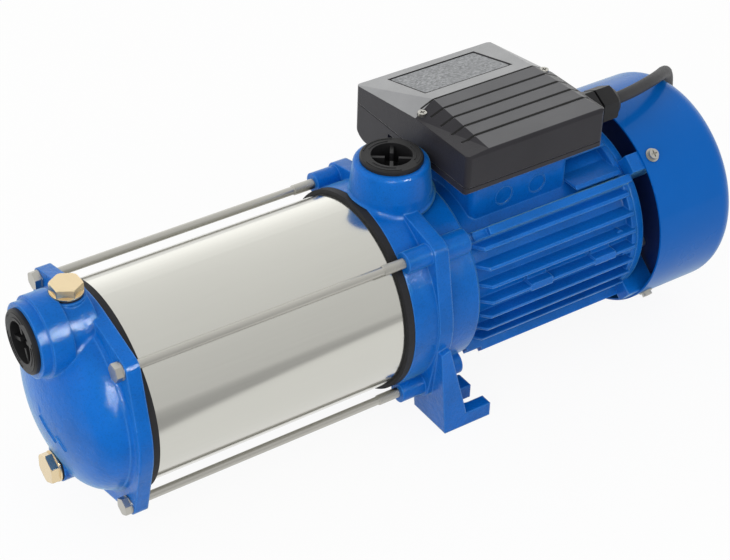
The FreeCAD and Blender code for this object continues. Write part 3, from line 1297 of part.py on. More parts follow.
def terminal_block():
    floor = PAD_TOP + GASKET + BOX_WALL
    start = WIRE_WAY_X + WIRE_WAY_R
    near = BOX_NEAR + BOX_WALL + 5
    block = Part.makeBox(TERMINALS_LENGTH, TERMINALS_WIDTH, TERMINALS_HEIGHT, V(start, near, floor))
    wells = []
    for index in range(TERMINALS):
        x = start + TERMINALS_LENGTH / TERMINALS * (index + 0.5)
        wells.append(Part.makeCylinder(TERMINAL_WELL_R, TERMINALS_HEIGHT,
                                       V(x, near + TERMINALS_WIDTH / 2, floor + TERMINALS_HEIGHT / 2)))
    return block.cut(wells)


# Cable

def cable_gland():
    """Screwed body of the gland, seated on the end wall of the box."""
    thread = disc(BOX_REAR - 7, GLAND_THREAD_R, 7, GLAND_Y, GLAND_Z)
    flange = hexagon(V(BOX_REAR + GLAND_BODY, GLAND_Y, GLAND_Z), X * -1, GLAND_FLATS, GLAND_BODY)
    neck = disc(BOX_REAR + GLAND_BODY, GLAND_NECK_R, GLAND_NUT_HEX, GLAND_Y, GLAND_Z)
    bore = disc(BOX_REAR - 8, CABLE_R + 0.6, 60, GLAND_Y, GLAND_Z)
    return fused([thread, flange, neck]).cut(bore)


def gland_nut():
    start = BOX_REAR + GLAND_BODY + GLAND_NUT_GAP
    nut = hexagon(V(start, GLAND_Y, GLAND_Z), X, GLAND_FLATS, GLAND_NUT_HEX)
    shoulder = Part.makeCone(GLAND_FLATS / 2, GLAND_NUT_END_R, GLAND_NUT - GLAND_NUT_HEX,
                             V(start + GLAND_NUT_HEX, GLAND_Y, GLAND_Z), X)
    hollow = disc(start - 1, GLAND_NECK_R + SLIP, GLAND_NUT_HEX + 1, GLAND_Y, GLAND_Z)
    bore = disc(start, CABLE_R + 0.1, 60, GLAND_Y, GLAND_Z)
    return fused([nut, shoulder]).cut([hollow, bore])


def route_path(points):
    """Straight runs joined by tangent arcs; prints each arc's radius."""
    points = [V(*point) for point in points]
    edges = []
    radii = []
    last = points[0]
    for before, corner, after in zip(points, points[1:], points[2:]):
        way_in = (corner - before).normalize()
        way_out = (after - corner).normalize()
        turn = way_in.getAngle(way_out)
        shorter = min((corner - before).Length, (after - corner).Length)
        radius = 0.45 * shorter / math.tan(turn / 2)
        trim = 0.45 * shorter
        start = corner - way_in * trim
        end = corner + way_out * trim
        bisector = (way_out - way_in).normalize()
        centre = corner + bisector * (radius / math.cos(turn / 2))
        middle = centre - bisector * radius
        edges.append(Part.makeLine(last, start))
        edges.append(Part.Arc(start, middle, end).toShape())
        radii.append(round(radius, 1))
        last = end
    edges.append(Part.makeLine(last, points[-1]))
    print("arc radii", radii)
    return Part.Wire(edges)


def power_cable():
    path = route_path(CABLE_ROUTE)
    direction = path.Edges[0].tangentAt(path.Edges[0].FirstParameter)
    section = Part.Wire(Part.makeCircle(CABLE_R, V(*CABLE_ROUTE[0]), direction))
    tube = path.makePipeShell([section], True, True)
    print("cable length", round(path.Length, 1), "volume share",
          round(tube.Volume / (path.Length * math.pi * CABLE_R ** 2), 4))
    return tube


def cable_coil():
    """Outer shape of the coiled cable, with the straight ends that lead in and out of it."""
    x, y = COIL_CENTRE
    inner = COIL_MID_R - CABLE_R * COIL_RINGS
    outer = COIL_MID_R + CABLE_R * COIL_RINGS
    floor = -SHAFT_HEIGHT
    top = floor + 2 * CABLE_R * COIL_LAYERS
    corner = COIL_ROUNDING
    steps = [(inner + corner, floor)]
    steps += bend(outer - corner, floor + corner, corner, 270, 360)
    steps += bend(outer - corner, top - corner, corner, 0, 90)
    steps += bend(inner + corner, top - corner, corner, 90, 180)
    steps += bend(inner + corner, floor + corner, corner, 180, 270)[:-1]
    steps += [(inner + corner - corner * math.cos(math.radians(45)),
               floor + corner - corner * math.sin(math.radians(45)), inner + corner, floor)]
    wire = steps_to_wire(steps, lambda r, z: V(r, 0, z))
    turns = Part.Face(wire).revolve(CENTRE, Z, 360)
    turns.translate(V(x, y, 0))
    end = CABLE_ROUTE[-1]
    lead_in = Part.makeCylinder(CABLE_R, y - end[1], V(*end), Y)
    start = V(2 * x - end[0], y, floor + PLUG_BODY_R)
    lead_out = Part.makeCylinder(CABLE_R, COIL_TAIL, start, Y * -1)
    return turns.fuse([lead_in, lead_out])


def mains_plug():
    """Round two-pin plug that lies on the floor at the end of the cable."""
    place = V(2 * COIL_CENTRE[0] - CABLE_ROUTE[-1][0], COIL_CENTRE[1] - COIL_TAIL,
              PLUG_BODY_R - SHAFT_HEIGHT)
    grip_end = PLUG_RELIEF + PLUG_GRIP
    body = lathe([
        (0, 0),
        (0, PLUG_RELIEF_R),
        (PLUG_RELIEF, PLUG_RELIEF_R + 2),
        (PLUG_RELIEF, PLUG_GRIP_R - 3),
        (grip_end, PLUG_GRIP_R),
        (grip_end + 4, PLUG_BODY_R),
        (grip_end + PLUG_BODY, PLUG_BODY_R),
        (grip_end + PLUG_BODY, 0)])
    pins = []
    for side in (-1, 1):
        pins.append(disc(grip_end + PLUG_BODY, PIN_R, PIN_LENGTH, side * PIN_SPACING / 2))
    plug = fused([body] + pins)
    plug.rotate(CENTRE, Z, -90)
    plug.translate(place)
    return plug


def main():
    os.makedirs("parts", exist_ok=True)
    save("suction_cover", suction_cover())
    save("suction_plug", suction_plug())
    save("discharge_plug", discharge_plug())
    priming, priming_washer = brass_plug(V(PRIMING_X, 0, SUCTION_HEIGHT + PRIMING_SEAT), Z)
    save("priming_plug", priming)
    save("priming_plug_washer", priming_washer)
    drain, drain_washer = brass_plug(V(DRAIN_SEAT, 0, -DRAIN_DEPTH), X * -1)
    save("drain_plug", drain)
    save("drain_plug_washer", drain_washer)
    save("front_barrel_seal", seal_ring(COVER_FACE, 1))
    save("rear_barrel_seal", seal_ring(BRACKET_FRONT, -1))
    save("pump_barrel", pump_barrel())
    save("tie_bolts", tie_bolts())
    save("discharge_bracket", discharge_bracket())
    save("inlet_plate", inlet_plate())
    wheel = impeller()
    casing = stage_casing()
    for index in range(STAGES):
        start = stage_start(index)
        wheel_copy = wheel.copy()
        wheel_copy.translate(V(start + IMPELLER_OFFSET, 0, 0))
        save("impeller_" + str(index + 1), wheel_copy)
        casing_copy = casing.copy()
        casing_copy.translate(V(start, 0, 0))
        save("stage_casing_" + str(index + 1), casing_copy)
    save("impeller_spacers", spacers())
    save("impeller_nut", impeller_nut())
    save("shaft", shaft())
    save("seal_seat", seal_seat())
    save("seal_rotary", seal_rotary())
    save("seal_spring", seal_spring())
    save("water_slinger", water_slinger())
    outer, inner, balls = bearing(FRONT_BEARING_X, FRONT_BORE_R, FRONT_OUTER_R, FRONT_WIDTH,
                                  FRONT_BALL_R)
    save("front_bearing_outer", outer)
    save("front_bearing_inner", inner)
    save("front_bearing_balls", balls)
    outer, inner, balls = bearing(REAR_BEARING_X, REAR_BORE_R, REAR_OUTER_R, REAR_WIDTH, REAR_BALL_R)
    save("rear_bearing_outer", outer)
    save("rear_bearing_inner", inner)
    save("rear_bearing_balls", balls)
    save("wave_spring", wave_spring())
    save("motor_frame", motor_frame())
    save("frame_screws", frame_screws())
    save("stator_core", stator_core())
    save("stator_windings", stator_windings())
    save("rotor_core", rotor_core())
    save("end_shield", end_shield())
    save("shield_screws", shield_screws())
    save("fan", fan())
    save("fan_cover", fan_cover())
    save("fan_cover_screws", cover_screws())
    save("terminal_box_base", box_base())
    save("terminal_box_lid", box_lid())
    save("terminal_box_screws", lid_screws())
    save("terminal_box_gasket", box_gasket())
    save("capacitor", capacitor())
    save("terminal_block", terminal_block())
    save("cable_gland", cable_gland())
    save("gland_nut", gland_nut())
    save("power_cable", power_cable())
    save("cable_coil", cable_coil())
    save("mains_plug", mains_plug())


main()
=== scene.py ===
import json
import math
import bpy
import bmesh
from mathutils import Matrix, Vector


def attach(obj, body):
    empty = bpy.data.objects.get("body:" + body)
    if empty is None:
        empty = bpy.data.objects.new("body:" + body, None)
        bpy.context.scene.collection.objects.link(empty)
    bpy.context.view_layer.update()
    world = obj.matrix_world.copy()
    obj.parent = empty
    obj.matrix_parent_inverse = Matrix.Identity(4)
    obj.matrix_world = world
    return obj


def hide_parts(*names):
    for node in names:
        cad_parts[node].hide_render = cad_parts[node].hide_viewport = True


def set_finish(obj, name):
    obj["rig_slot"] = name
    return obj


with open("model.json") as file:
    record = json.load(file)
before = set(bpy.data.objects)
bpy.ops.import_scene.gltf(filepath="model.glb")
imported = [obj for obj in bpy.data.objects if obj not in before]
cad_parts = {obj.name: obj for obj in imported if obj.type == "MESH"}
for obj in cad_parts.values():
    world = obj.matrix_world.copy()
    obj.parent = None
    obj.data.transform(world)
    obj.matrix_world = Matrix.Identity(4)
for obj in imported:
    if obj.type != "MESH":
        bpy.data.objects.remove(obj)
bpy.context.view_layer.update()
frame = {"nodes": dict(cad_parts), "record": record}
NODES = frame["nodes"]
SUBPARTS = frame["record"]["subparts"]
SHAFT_HEIGHT = 0.080


# Camera

CAMERA_PLACE = (-0.57287, -0.79257, 0.80390)
CAMERA_YAW, CAMERA_PITCH, CAMERA_ROLL = 0.612, -0.640, 0.033    # radians; yaw is from +Y towards +X
CAMERA_LENS = 95.52                 # mm
CAMERA_SENSOR = 36.0                # mm


def add_to_scene(thing):
    bpy.context.scene.collection.objects.link(thing)


def make_camera():
    data = bpy.data.cameras.new("camera")
    data.sensor_width = CAMERA_SENSOR
    data.lens = CAMERA_LENS
    data.clip_start = 0.05
    data.clip_end = 20.0
    camera = bpy.data.objects.new("camera", data)
    add_to_scene(camera)
    forward = Vector((math.cos(CAMERA_PITCH) * math.sin(CAMERA_YAW),
                      math.cos(CAMERA_PITCH) * math.cos(CAMERA_YAW),
                      math.sin(CAMERA_PITCH)))
    level = Vector((math.cos(CAMERA_YAW), -math.sin(CAMERA_YAW), 0.0))
    upright = level.cross(forward)
    right = level * math.cos(CAMERA_ROLL) + upright * math.sin(CAMERA_ROLL)
    up = upright * math.cos(CAMERA_ROLL) - level * math.sin(CAMERA_ROLL)
    rows = Matrix((right, up, -forward)).transposed()
    camera.matrix_world = Matrix.Translation(CAMERA_PLACE) @ rows.to_4x4()
    bpy.context.scene.camera = camera


make_camera()


# Ways to make pieces

AXIS_R = 1e-6                       # a ring smaller than this is one point on the axis
SHARP_ANGLE = 35                    # degrees; edges that bend further stay sharp


def new_object(name, data, body, slot):
    piece = bpy.data.objects.new(name, data)
    add_to_scene(piece)
    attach(piece, body)
    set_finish(piece, slot)
    return piece


def mesh_object(name, made, body, slot, smooth=True):
    data = bpy.data.meshes.new(name)
    bmesh.ops.recalc_face_normals(made, faces=made.faces)
    made.to_mesh(data)
    made.free()
    if smooth:
        data.shade_smooth()
        data.set_sharp_from_angle(angle=math.radians(SHARP_ANGLE))
    return new_object(name, data, body, slot)


def turned(profile, place, sides=64, closed=False):
    """Mesh turned from (along, radius) pairs; place maps (along, across, up) to the pump's frame."""
    made = bmesh.new()
    rings = []
    for along, radius in profile:
        if radius < AXIS_R:
            rings.append([made.verts.new(place(along, 0.0, 0.0))])
            continue
        ring = []
        for side in range(sides):
            angle = 2 * math.pi * side / sides
            ring.append(made.verts.new(place(along, radius * math.cos(angle), radius * math.sin(angle))))
        rings.append(ring)
    pairs = list(zip(rings, rings[1:]))
    if closed:
        pairs.append((rings[-1], rings[0]))
    for a, b in pairs:
        for side in range(sides):
            other = (side + 1) % sides
            if len(a) == 1 and len(b) > 1:
                made.faces.new((a[0], b[side], b[other]))
            elif len(b) == 1 and len(a) > 1:
                made.faces.new((a[side], b[0], a[other]))
            elif len(a) > 1:
                made.faces.new((a[side], b[side], b[other], a[other]))
    return made


def close_strip(made, rows):
    """Faces over both ends of a strip of rows."""
    made.faces.new(rows[0])
    made.faces.new(list(reversed(rows[-1])))


# Power cable: straight out of the gland, over the rim of the fan cover, down and into its coil

CABLE_R = 0.004
ROUTE = [
    (0.1555, -0.0194, 0.1689),
    (0.1710, -0.0184, 0.1689),
    (0.1870, -0.0140, 0.1676),
    (0.2010, -0.0080, 0.1646),
    (0.2125, -0.0010, 0.1605),
    (0.2230, 0.0065, 0.1559),
    (0.2335, 0.0145, 0.1490),
    (0.2435, 0.0225, 0.1360),
    (0.2527, 0.0305, 0.1145),
    (0.2580, 0.0345, 0.0830),
    (0.2575, 0.0405, 0.0530),
    (0.2565, 0.0540, 0.0260),
    (0.2555, 0.0770, 0.0085),
    (0.2583, 0.1000, 0.0040),
    (0.2600, 0.1210, 0.0040),
    (0.2600, 0.1410, 0.0040),
    (0.2600, 0.1650, 0.0040),
]
COIL_X, COIL_Y = 0.208, 0.186
COIL_OUTER, COIL_INNER = 0.052, 0.044
COIL_SWELL = 1.013                  # the curve runs inside its control points by this share
COIL_LOW, COIL_HIGH = 0.004, 0.012  # centre of the cable in the lower and the upper layer
COIL_STEP = 22.5                    # degrees from point to point
COIL_END = 1260.0                   # three and a half turns
COIL_INWARD = (300, 360)            # where the cable passes to the inner ring,
COIL_UPWARD = (600, 660)            # to the upper layer
COIL_OUTWARD = (960, 1020)          # and back to the outer ring
PLUG_LEAD = [(0.156, 0.166, 0.0135), (0.156, 0.150, 0.0170), (0.156, 0.140, 0.0185)]
PLUG_PLACE = (0.156, 0.134, 0.0185)

RELIEF_RIBS = 5                     # ribs of the plug's strain relief
RELIEF_START, RELIEF_PITCH = 0.0020, 0.0028
RELIEF_R, RELIEF_GROWTH = 0.0055, 0.0004
RELIEF_RIB = [(0.0, 0.0), (0.0003, -0.0009), (0.0012, -0.0008), (0.0015, 0.0003), (0.0026, 0.0004)]
PLUG_TIP = [(0.0, 0.0), (0.0, 0.0050), (0.0008, 0.0055)]
PLUG_BODY = [
    (0.0164, 0.0078), (0.0170, 0.0100), (0.0185, 0.0107), (0.0350, 0.0128), (0.0385, 0.0165),
    (0.0405, 0.0183), (0.0425, 0.0185), (0.0500, 0.0185), (0.0522, 0.0182), (0.0530, 0.0172),
    (0.0530, 0.0150), (0.0526, 0.0147), (0.0526, 0.0)]
PIN_OFFSET = 0.0095                 # from the middle of the plug to each pin
PIN_SLEEVE = [(0.0520, 0.0), (0.0520, 0.0023), (0.0620, 0.0023), (0.0622, 0.0021), (0.0622, 0.0)]
PIN_METAL = [(0.0621, 0.0), (0.0621, 0.0023), (0.0706, 0.0023), (0.0716, 0.0018), (0.0720, 0.0009),
             (0.0720, 0.0)]
PIN_SIDES = 24


def step_between(value, start, end, low, high):
    """low before start, high after end and an even slope between."""
    share = min(1.0, max(0.0, (value - start) / (end - start)))
    return low + (high - low) * share


def cable_points():
    points = list(ROUTE)
    turn = 0.0
    while turn <= COIL_END:
        radius = step_between(turn, *COIL_INWARD, COIL_OUTER, COIL_INNER)
        radius += step_between(turn, *COIL_OUTWARD, 0.0, COIL_OUTER - COIL_INNER)
        radius *= COIL_SWELL
        height = step_between(turn, *COIL_UPWARD, COIL_LOW, COIL_HIGH)
        angle = math.radians(turn)
        points.append((COIL_X + radius * math.cos(angle), COIL_Y + radius * math.sin(angle), height))
        turn += COIL_STEP
    return points + PLUG_LEAD + [PLUG_PLACE]


def make_cable():
    data = bpy.data.curves.new("power_cable_line", "CURVE")
    data.dimensions = "3D"
    data.resolution_u = 8
    data.bevel_depth = 1.0          # times the radius of each point
    data.bevel_resolution = 6
    data.use_fill_caps = True
    points = cable_points()
    spline = data.splines.new("NURBS")
    spline.points.add(len(points) - 1)
    for point, place in zip(spline.points, points):
        point.co = (*place, 1.0)
        point.radius = CABLE_R
    spline.order_u = 3
    spline.use_endpoint_u = True
    cable = new_object("power_cable_sheath", data, "casing", "cable_sheath")
    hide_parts("power_cable", "cable_coil")
    return cable


def make_plug():
    """Round two-pin plug with a ribbed, tapered relief where the cable enters."""
    def placed(shift):
        def place(along, across, up):
            return (PLUG_PLACE[0] + shift + across, PLUG_PLACE[1] - along, PLUG_PLACE[2] + up)
        return place

    profile = list(PLUG_TIP)
    for rib in range(RELIEF_RIBS):
        start = RELIEF_START + RELIEF_PITCH * rib
        thick = RELIEF_R + RELIEF_GROWTH * rib
        profile += [(start + along, thick + out) for along, out in RELIEF_RIB]
    plug = mesh_object("plug_body", turned(profile + PLUG_BODY, placed(0.0)), "casing", "black_plastic")
    pieces = [plug]
    for number, side in ((1, -1), (2, 1)):
        place = placed(side * PIN_OFFSET)
        for name, shape, slot in (("plug_sleeve_%d", PIN_SLEEVE, "black_plastic"),
                                  ("plug_pin_%d", PIN_METAL, "bolt_zinc")):
            pieces.append(mesh_object(name % number, turned(shape, place, PIN_SIDES), "casing", slot))
    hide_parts("mains_plug")
    return pieces


CABLE = make_cable()
PLUG = make_plug()


# Lid: rating area with painted shade round its edge, and strips of painted shade along the bottoms of the
# grooves

LID_TOP = {                         # corners of the lid's faces
    "ridge": ((0.0416, 0.0165, 0.1874), (0.1185, 0.0165, 0.1874)),
    "back": ((0.0255, 0.0772, 0.1715), (0.1310, 0.0772, 0.1715)),
    "brow": ((0.0426, -0.0417, 0.1826), (0.1281, -0.0417, 0.1826)),
    "side": ((0.0255, -0.0417, 0.1818), (0.1310, -0.0417, 0.1818)),
    "end": ((0.0255, 0.0124, 0.1810), (0.1310, 0.0124, 0.1810)),
}
RATING_AREA = (0.0457, 0.1107, 0.0303, 0.0678)      # x and y of its ends
RATING_EDGE = (0.0444, 0.1120, 0.0289, 0.0692)
AREA_RISE, EDGE_RISE = -0.00032, -0.00045           # of their tops from the lid's own slope
AREA_CORNER, EDGE_CORNER = 0.0012, 0.0015
SHEET_THICKNESS = 0.0003
CORNER_STEPS = 6                    # pieces of each rounded corner
GROOVES = 5
GROOVE_FIRST, GROOVE_PITCH = 0.0165, 0.0105
GROOVE_FRONT, GROOVE_REAR = 0.0327, 0.1294
# Strips of near-black painted shade along the grooves: half their width and their rise above the lid
GROOVE_SHADE_HALF = 0.00080
GROOVE_SHADE_RISE = 0.00004
STRIP_THICKNESS = 0.0004
STRIP_STEPS = 48


def lid_plane(*corners):
    """Plane through three corners, each a name and an end, as (point, normal)."""
    point, second, third = (Vector(LID_TOP[name][end]) for name, end in corners)
    return point, (second - point).cross(third - point)


def lid_groups():
    """Faces of the lid's top; the two faces of one group meet in a hollow edge."""
    groups = [[lid_plane(("ridge", 0), ("ridge", 1), ("back", 0))],
              [lid_plane(("ridge", 0), ("ridge", 1), ("brow", 0))]]
    for end in (0, 1):
        groups.append([lid_plane(("back", end), ("ridge", end), ("end", end))])
        groups.append([lid_plane(("end", end), ("ridge", end), ("brow", end)),
                       lid_plane(("end", end), ("brow", end), ("side", end))])
    return groups


LID_GROUPS = lid_groups()


def lid_height(x, y):
    """Height of the lid's top: the lowest group counts, and of each group the higher face."""
    return min(max(point.z - (normal.x * (x - point.x) + normal.y * (y - point.y)) / normal.z
                   for point, normal in group) for group in LID_GROUPS)


def lid_sheet(name, area, rise, corner):
    """Thin sheet with rounded corners that follows the lid's slope."""
    x0, x1, y0, y1 = area
    made = bmesh.new()
    low, high = [], []
    for cx, cy, first in ((x1, y1, 0), (x0, y1, 90), (x0, y0, 180), (x1, y0, 270)):
        inside_x = cx - corner if cx == x1 else cx + corner
        inside_y = cy - corner if cy == y1 else cy + corner
        for step in range(CORNER_STEPS + 1):
            angle = math.radians(first + 90 / CORNER_STEPS * step)
            x = inside_x + corner * math.cos(angle)
            y = inside_y + corner * math.sin(angle)
            low.append(made.verts.new((x, y, lid_height(x, y) + rise - SHEET_THICKNESS)))
            high.append(made.verts.new((x, y, lid_height(x, y) + rise)))
    made.faces.new(high)
    made.faces.new(list(reversed(low)))
    for index, vert in enumerate(low):
        other = (index + 1) % len(low)
        made.faces.new((vert, low[other], high[other], high[index]))
    return mesh_object(name, made, "casing", "box_plastic", smooth=False)


def lid_line(name, y0, y1, rise):
    """Narrow strip along the lid that bends down with its faces; near-black, it is painted shade."""
    made = bmesh.new()
    rows = []
    for step in range(STRIP_STEPS + 1):
        x = GROOVE_FRONT + (GROOVE_REAR - GROOVE_FRONT) * step / STRIP_STEPS
        rows.append([made.verts.new((x, y, lid_height(x, y) + height))
                     for y, height in ((y0, rise - STRIP_THICKNESS), (y0, rise),
                                       (y1, rise), (y1, rise - STRIP_THICKNESS))])
    for a, b in zip(rows, rows[1:]):
        for side in range(4):
            other = (side + 1) % 4
            made.faces.new((a[side], a[other], b[other], b[side]))
    close_strip(made, rows)
    return mesh_object(name, made, "casing", "box_plastic", smooth=False)


def make_lid_details():
    """Pieces on the lid, each with the finish that it gets."""
    # The rating area's edge and the groove strips are near-black painted shade
    pieces = [(lid_sheet("rating_area", RATING_AREA, AREA_RISE, AREA_CORNER), "plate"),
              (lid_sheet("rating_area_edge", RATING_EDGE, EDGE_RISE, EDGE_CORNER), "painted_shade")]
    for index in range(GROOVES):
        y = GROOVE_FIRST - GROOVE_PITCH * index
        line = lid_line("lid_groove_%d" % (index + 1), y - GROOVE_SHADE_HALF, y + GROOVE_SHADE_HALF, GROOVE_SHADE_RISE)
        pieces.append((line, "painted_shade"))
    return pieces


LID_DETAILS = make_lid_details()


# Transport plugs: raised arcs on the face of the flange

ARC_STARTS = (20, 140, 260)         # degrees
ARC_STEPS = 24
ARC_FOOT, ARC_TOP = -0.0002, 0.00035
ARCS = ((0.0174, 0.0009, 0, 80), (0.0146, 0.0008, 10, 70))      # radius, width, start and end
ARC_FLANK = 0.3                     # half the width of an arc's top, as a share of its foot's
SUCTION_FACE, SUCTION_HEIGHT = -0.2482, 0.131
DISCHARGE_FACE = 0.1705
SUCTION_TURN, DISCHARGE_TURN = 10, 35       # degrees


def arc_strip(made, place, radius, width, start, end):
    """Raised strip along an arc; place maps (along, across, up) to the pump's frame."""
    rows = []
    for step in range(ARC_STEPS + 1):
        angle = math.radians(start + (end - start) * step / ARC_STEPS)
        row = []
        for along, reach in ((ARC_FOOT, radius - width / 2), (ARC_TOP, radius - width * ARC_FLANK),
                             (ARC_TOP, radius + width * ARC_FLANK), (ARC_FOOT, radius + width / 2)):
            row.append(made.verts.new(place(along, reach * math.cos(angle), reach * math.sin(angle))))
        rows.append(row)
    for a, b in zip(rows, rows[1:]):
        for side in range(3):
            made.faces.new((a[side], a[side + 1], b[side + 1], b[side]))
    close_strip(made, rows)


def make_plug_marks(name, body, place, turn):
    """Three pairs of raised arcs round the face of a transport plug."""
    made = bmesh.new()
    for first in ARC_STARTS:
        for radius, width, start, end in ARCS:
            arc_strip(made, place, radius, width, first + turn + start, first + turn + end)
    return mesh_object(name, made, body, "black_plastic")


def suction_face(along, across, up):
    return (SUCTION_FACE - along, across, SUCTION_HEIGHT + up)


def discharge_face(along, across, up):
    return (across, up, DISCHARGE_FACE + along)


PLUG_MARKS = [make_plug_marks("suction_plug_marks", "suction_cap", suction_face, SUCTION_TURN),
              make_plug_marks("discharge_plug_marks", "discharge_cap", discharge_face, DISCHARGE_TURN)]


# Rolled thread of the tie bolts where it shows in front of the bracket

TIE_OFFSET = 0.0496
TIE_SIDES = ((1, 1), (-1, 1), (-1, -1), (1, -1))
THREAD_START = -0.039
THREAD_FIRST, THREAD_END = 0.0002, 0.0149   # first ridge and far end, from the start
THREAD_TURNS, THREAD_PITCH = 14, 0.00105
THREAD_INNER_R, THREAD_ROOT_R, THREAD_CREST_R = 0.0026, 0.00302, 0.00328
THREAD_RIDGE = [(0.0, THREAD_ROOT_R), (0.00035, THREAD_CREST_R), (0.0006, THREAD_CREST_R),
                (0.00095, THREAD_ROOT_R)]
THREAD_SIDES = 28


def make_threads():
    profile = [(0.0, THREAD_INNER_R)]
    for turn in range(THREAD_TURNS):
        start = THREAD_FIRST + THREAD_PITCH * turn
        profile += [(start + along, radius) for along, radius in THREAD_RIDGE]
    profile.append((THREAD_END, THREAD_INNER_R))
    pieces = []
    for number, (y_side, z_side) in enumerate(TIE_SIDES):
        def place(along, across, up, y=TIE_OFFSET * y_side, z=SHAFT_HEIGHT + TIE_OFFSET * z_side):
            return (THREAD_START + along, y + across, z + up)
        made = turned(profile, place, THREAD_SIDES)
        pieces.append(mesh_object("tie_thread_%d" % (number + 1), made, "casing", "bolt_zinc"))
    return pieces


THREADS = make_threads()


# Raised rims of the round marks on the near side of the pad

PAD_MARKS = (0.0645, 0.0902)
PAD_MARK_HEIGHT = 0.1354
PAD_NEAR = -0.0306
PAD_RIM = [(-0.0007, 0.0061), (0.0, 0.0061), (0.00030, 0.0064), (0.00030, 0.0067), (0.0, 0.0070),
           (-0.0003, 0.0070)]
PAD_RIM_SIDES = 48


def make_pad_rims():
    pieces = []
    for number, mark in enumerate(PAD_MARKS):
        def place(along, across, up, x=mark):
            return (x + across, PAD_NEAR - along, PAD_MARK_HEIGHT + up)
        rim = turned(PAD_RIM, place, PAD_RIM_SIDES, closed=True)
        pieces.append(mesh_object("pad_rim_%d" % (number + 1), rim, "casing", "blue_paint"))
    return pieces


PAD_RIMS = make_pad_rims()


# Small ring boss between two fins of the motor frame

BOSS_X, BOSS_ANGLE = 0.1405, 76.0   # the angle is from the top towards the near side, in degrees
BOSS_FOOT, BOSS_TOP = 0.0540, 0.0600
BOSS_RING = [(BOSS_FOOT, 0.0012), (BOSS_TOP - 0.0004, 0.0012), (BOSS_TOP, 0.0015), (BOSS_TOP, 0.0021),
             (BOSS_TOP - 0.0005, 0.0026), (BOSS_FOOT, 0.0028)]
BOSS_SIDES = 32


def make_ring_boss():
    angle = math.radians(BOSS_ANGLE)
    out = Vector((0.0, -math.sin(angle), math.cos(angle)))
    side = Vector((1.0, 0.0, 0.0))
    upward = out.cross(side)

    def place(along, across, up):
        return Vector((BOSS_X, 0.0, SHAFT_HEIGHT)) + out * along + side * across + upward * up
    ring = turned(BOSS_RING, place, BOSS_SIDES, closed=True)
    return mesh_object("frame_ring_boss", ring, "casing", "blue_paint")


BOSS = make_ring_boss()


# Node graphs

MIX_FACTOR, MIX_A, MIX_B = 0, 6, 7  # sockets of a colour mix
MIX_RESULT = 2
SHADER_FACTOR, SHADER_A, SHADER_B = 0, 1, 2     # sockets of a shader mix
BEVEL_SAMPLES = 6
EDGE_HIGHLIGHT_RANGE = (0.995, 0.86)          # cosine between the two normals, from no painted edge highlight to the full one
EDGE_HIGHLIGHT_SHARE = 0.55                   # what the full painted edge highlight takes from the paint


class Graph:
    """Nodes of one material or world."""

    def __init__(self, owner):
        owner.use_nodes = True
        self.nodes = owner.node_tree.nodes
        self.links = owner.node_tree.links

    def add(self, kind, sockets=None, **values):
        """New node; values are its settings, and sockets holds the constants of its inputs."""
        node = self.nodes.new(kind)
        for name, value in values.items():
            setattr(node, name, value)
        for name, value in (sockets or {}).items():
            node.inputs[name].default_value = value
        return node

    def join(self, a, output, b, value):
        self.links.new(a.outputs[output], b.inputs[value])

    def feed(self, value, node, socket):
        """Give an input a number, a colour or what (node, output) makes."""
        if isinstance(value, float):
            node.inputs[socket].default_value = value
        elif isinstance(value[0], float):
            node.inputs[socket].default_value = (*value, 1.0)
        else:
            self.join(*value, node, socket)

    def ramp(self, source, output, stops):
        ramp = self.add("ShaderNodeValToRGB")
        elements = ramp.color_ramp.elements
        while len(elements) < len(stops):
            elements.new(0.5)
        for element, (position, color) in zip(elements, stops):
            element.position = position
            element.color = (*color, 1.0)
        self.join(source, output, ramp, "Fac")
        return ramp

    def span(self, source, output, low, high, to_low, to_high):
        """The source's range from low to high, mapped to another."""
        node = self.add("ShaderNodeMapRange", {"From Min": low, "From Max": high,
                                               "To Min": to_low, "To Max": to_high})
        self.join(source, output, node, "Value")
        return node

    def mix(self, factor, a, b, blend="MIX"):
        """Mixed colour; factor is a number, a and b are colours, or each is (node, output)."""
        node = self.add("ShaderNodeMix", data_type="RGBA", blend_type=blend)
        for value, socket in ((factor, MIX_FACTOR), (a, MIX_A), (b, MIX_B)):
            self.feed(value, node, socket)
        return node

    def combine(self, a, b, operation="MULTIPLY"):
        """Two values, each a number or (node, output), as one."""
        node = self.add("ShaderNodeMath", operation=operation)
        for index, value in enumerate((a, b)):
            self.feed(value, node, index)
        return node

    def mix_shaders(self, factor, a, b, end):
        """Two shaders mixed by factor, joined to the output node end."""
        node = self.add("ShaderNodeMixShader")
        self.join(*factor, node, SHADER_FACTOR)
        self.join(a, 0, node, SHADER_A)
        self.join(b, 0, node, SHADER_B)
        self.join(node, 0, self.nodes[end], "Surface")


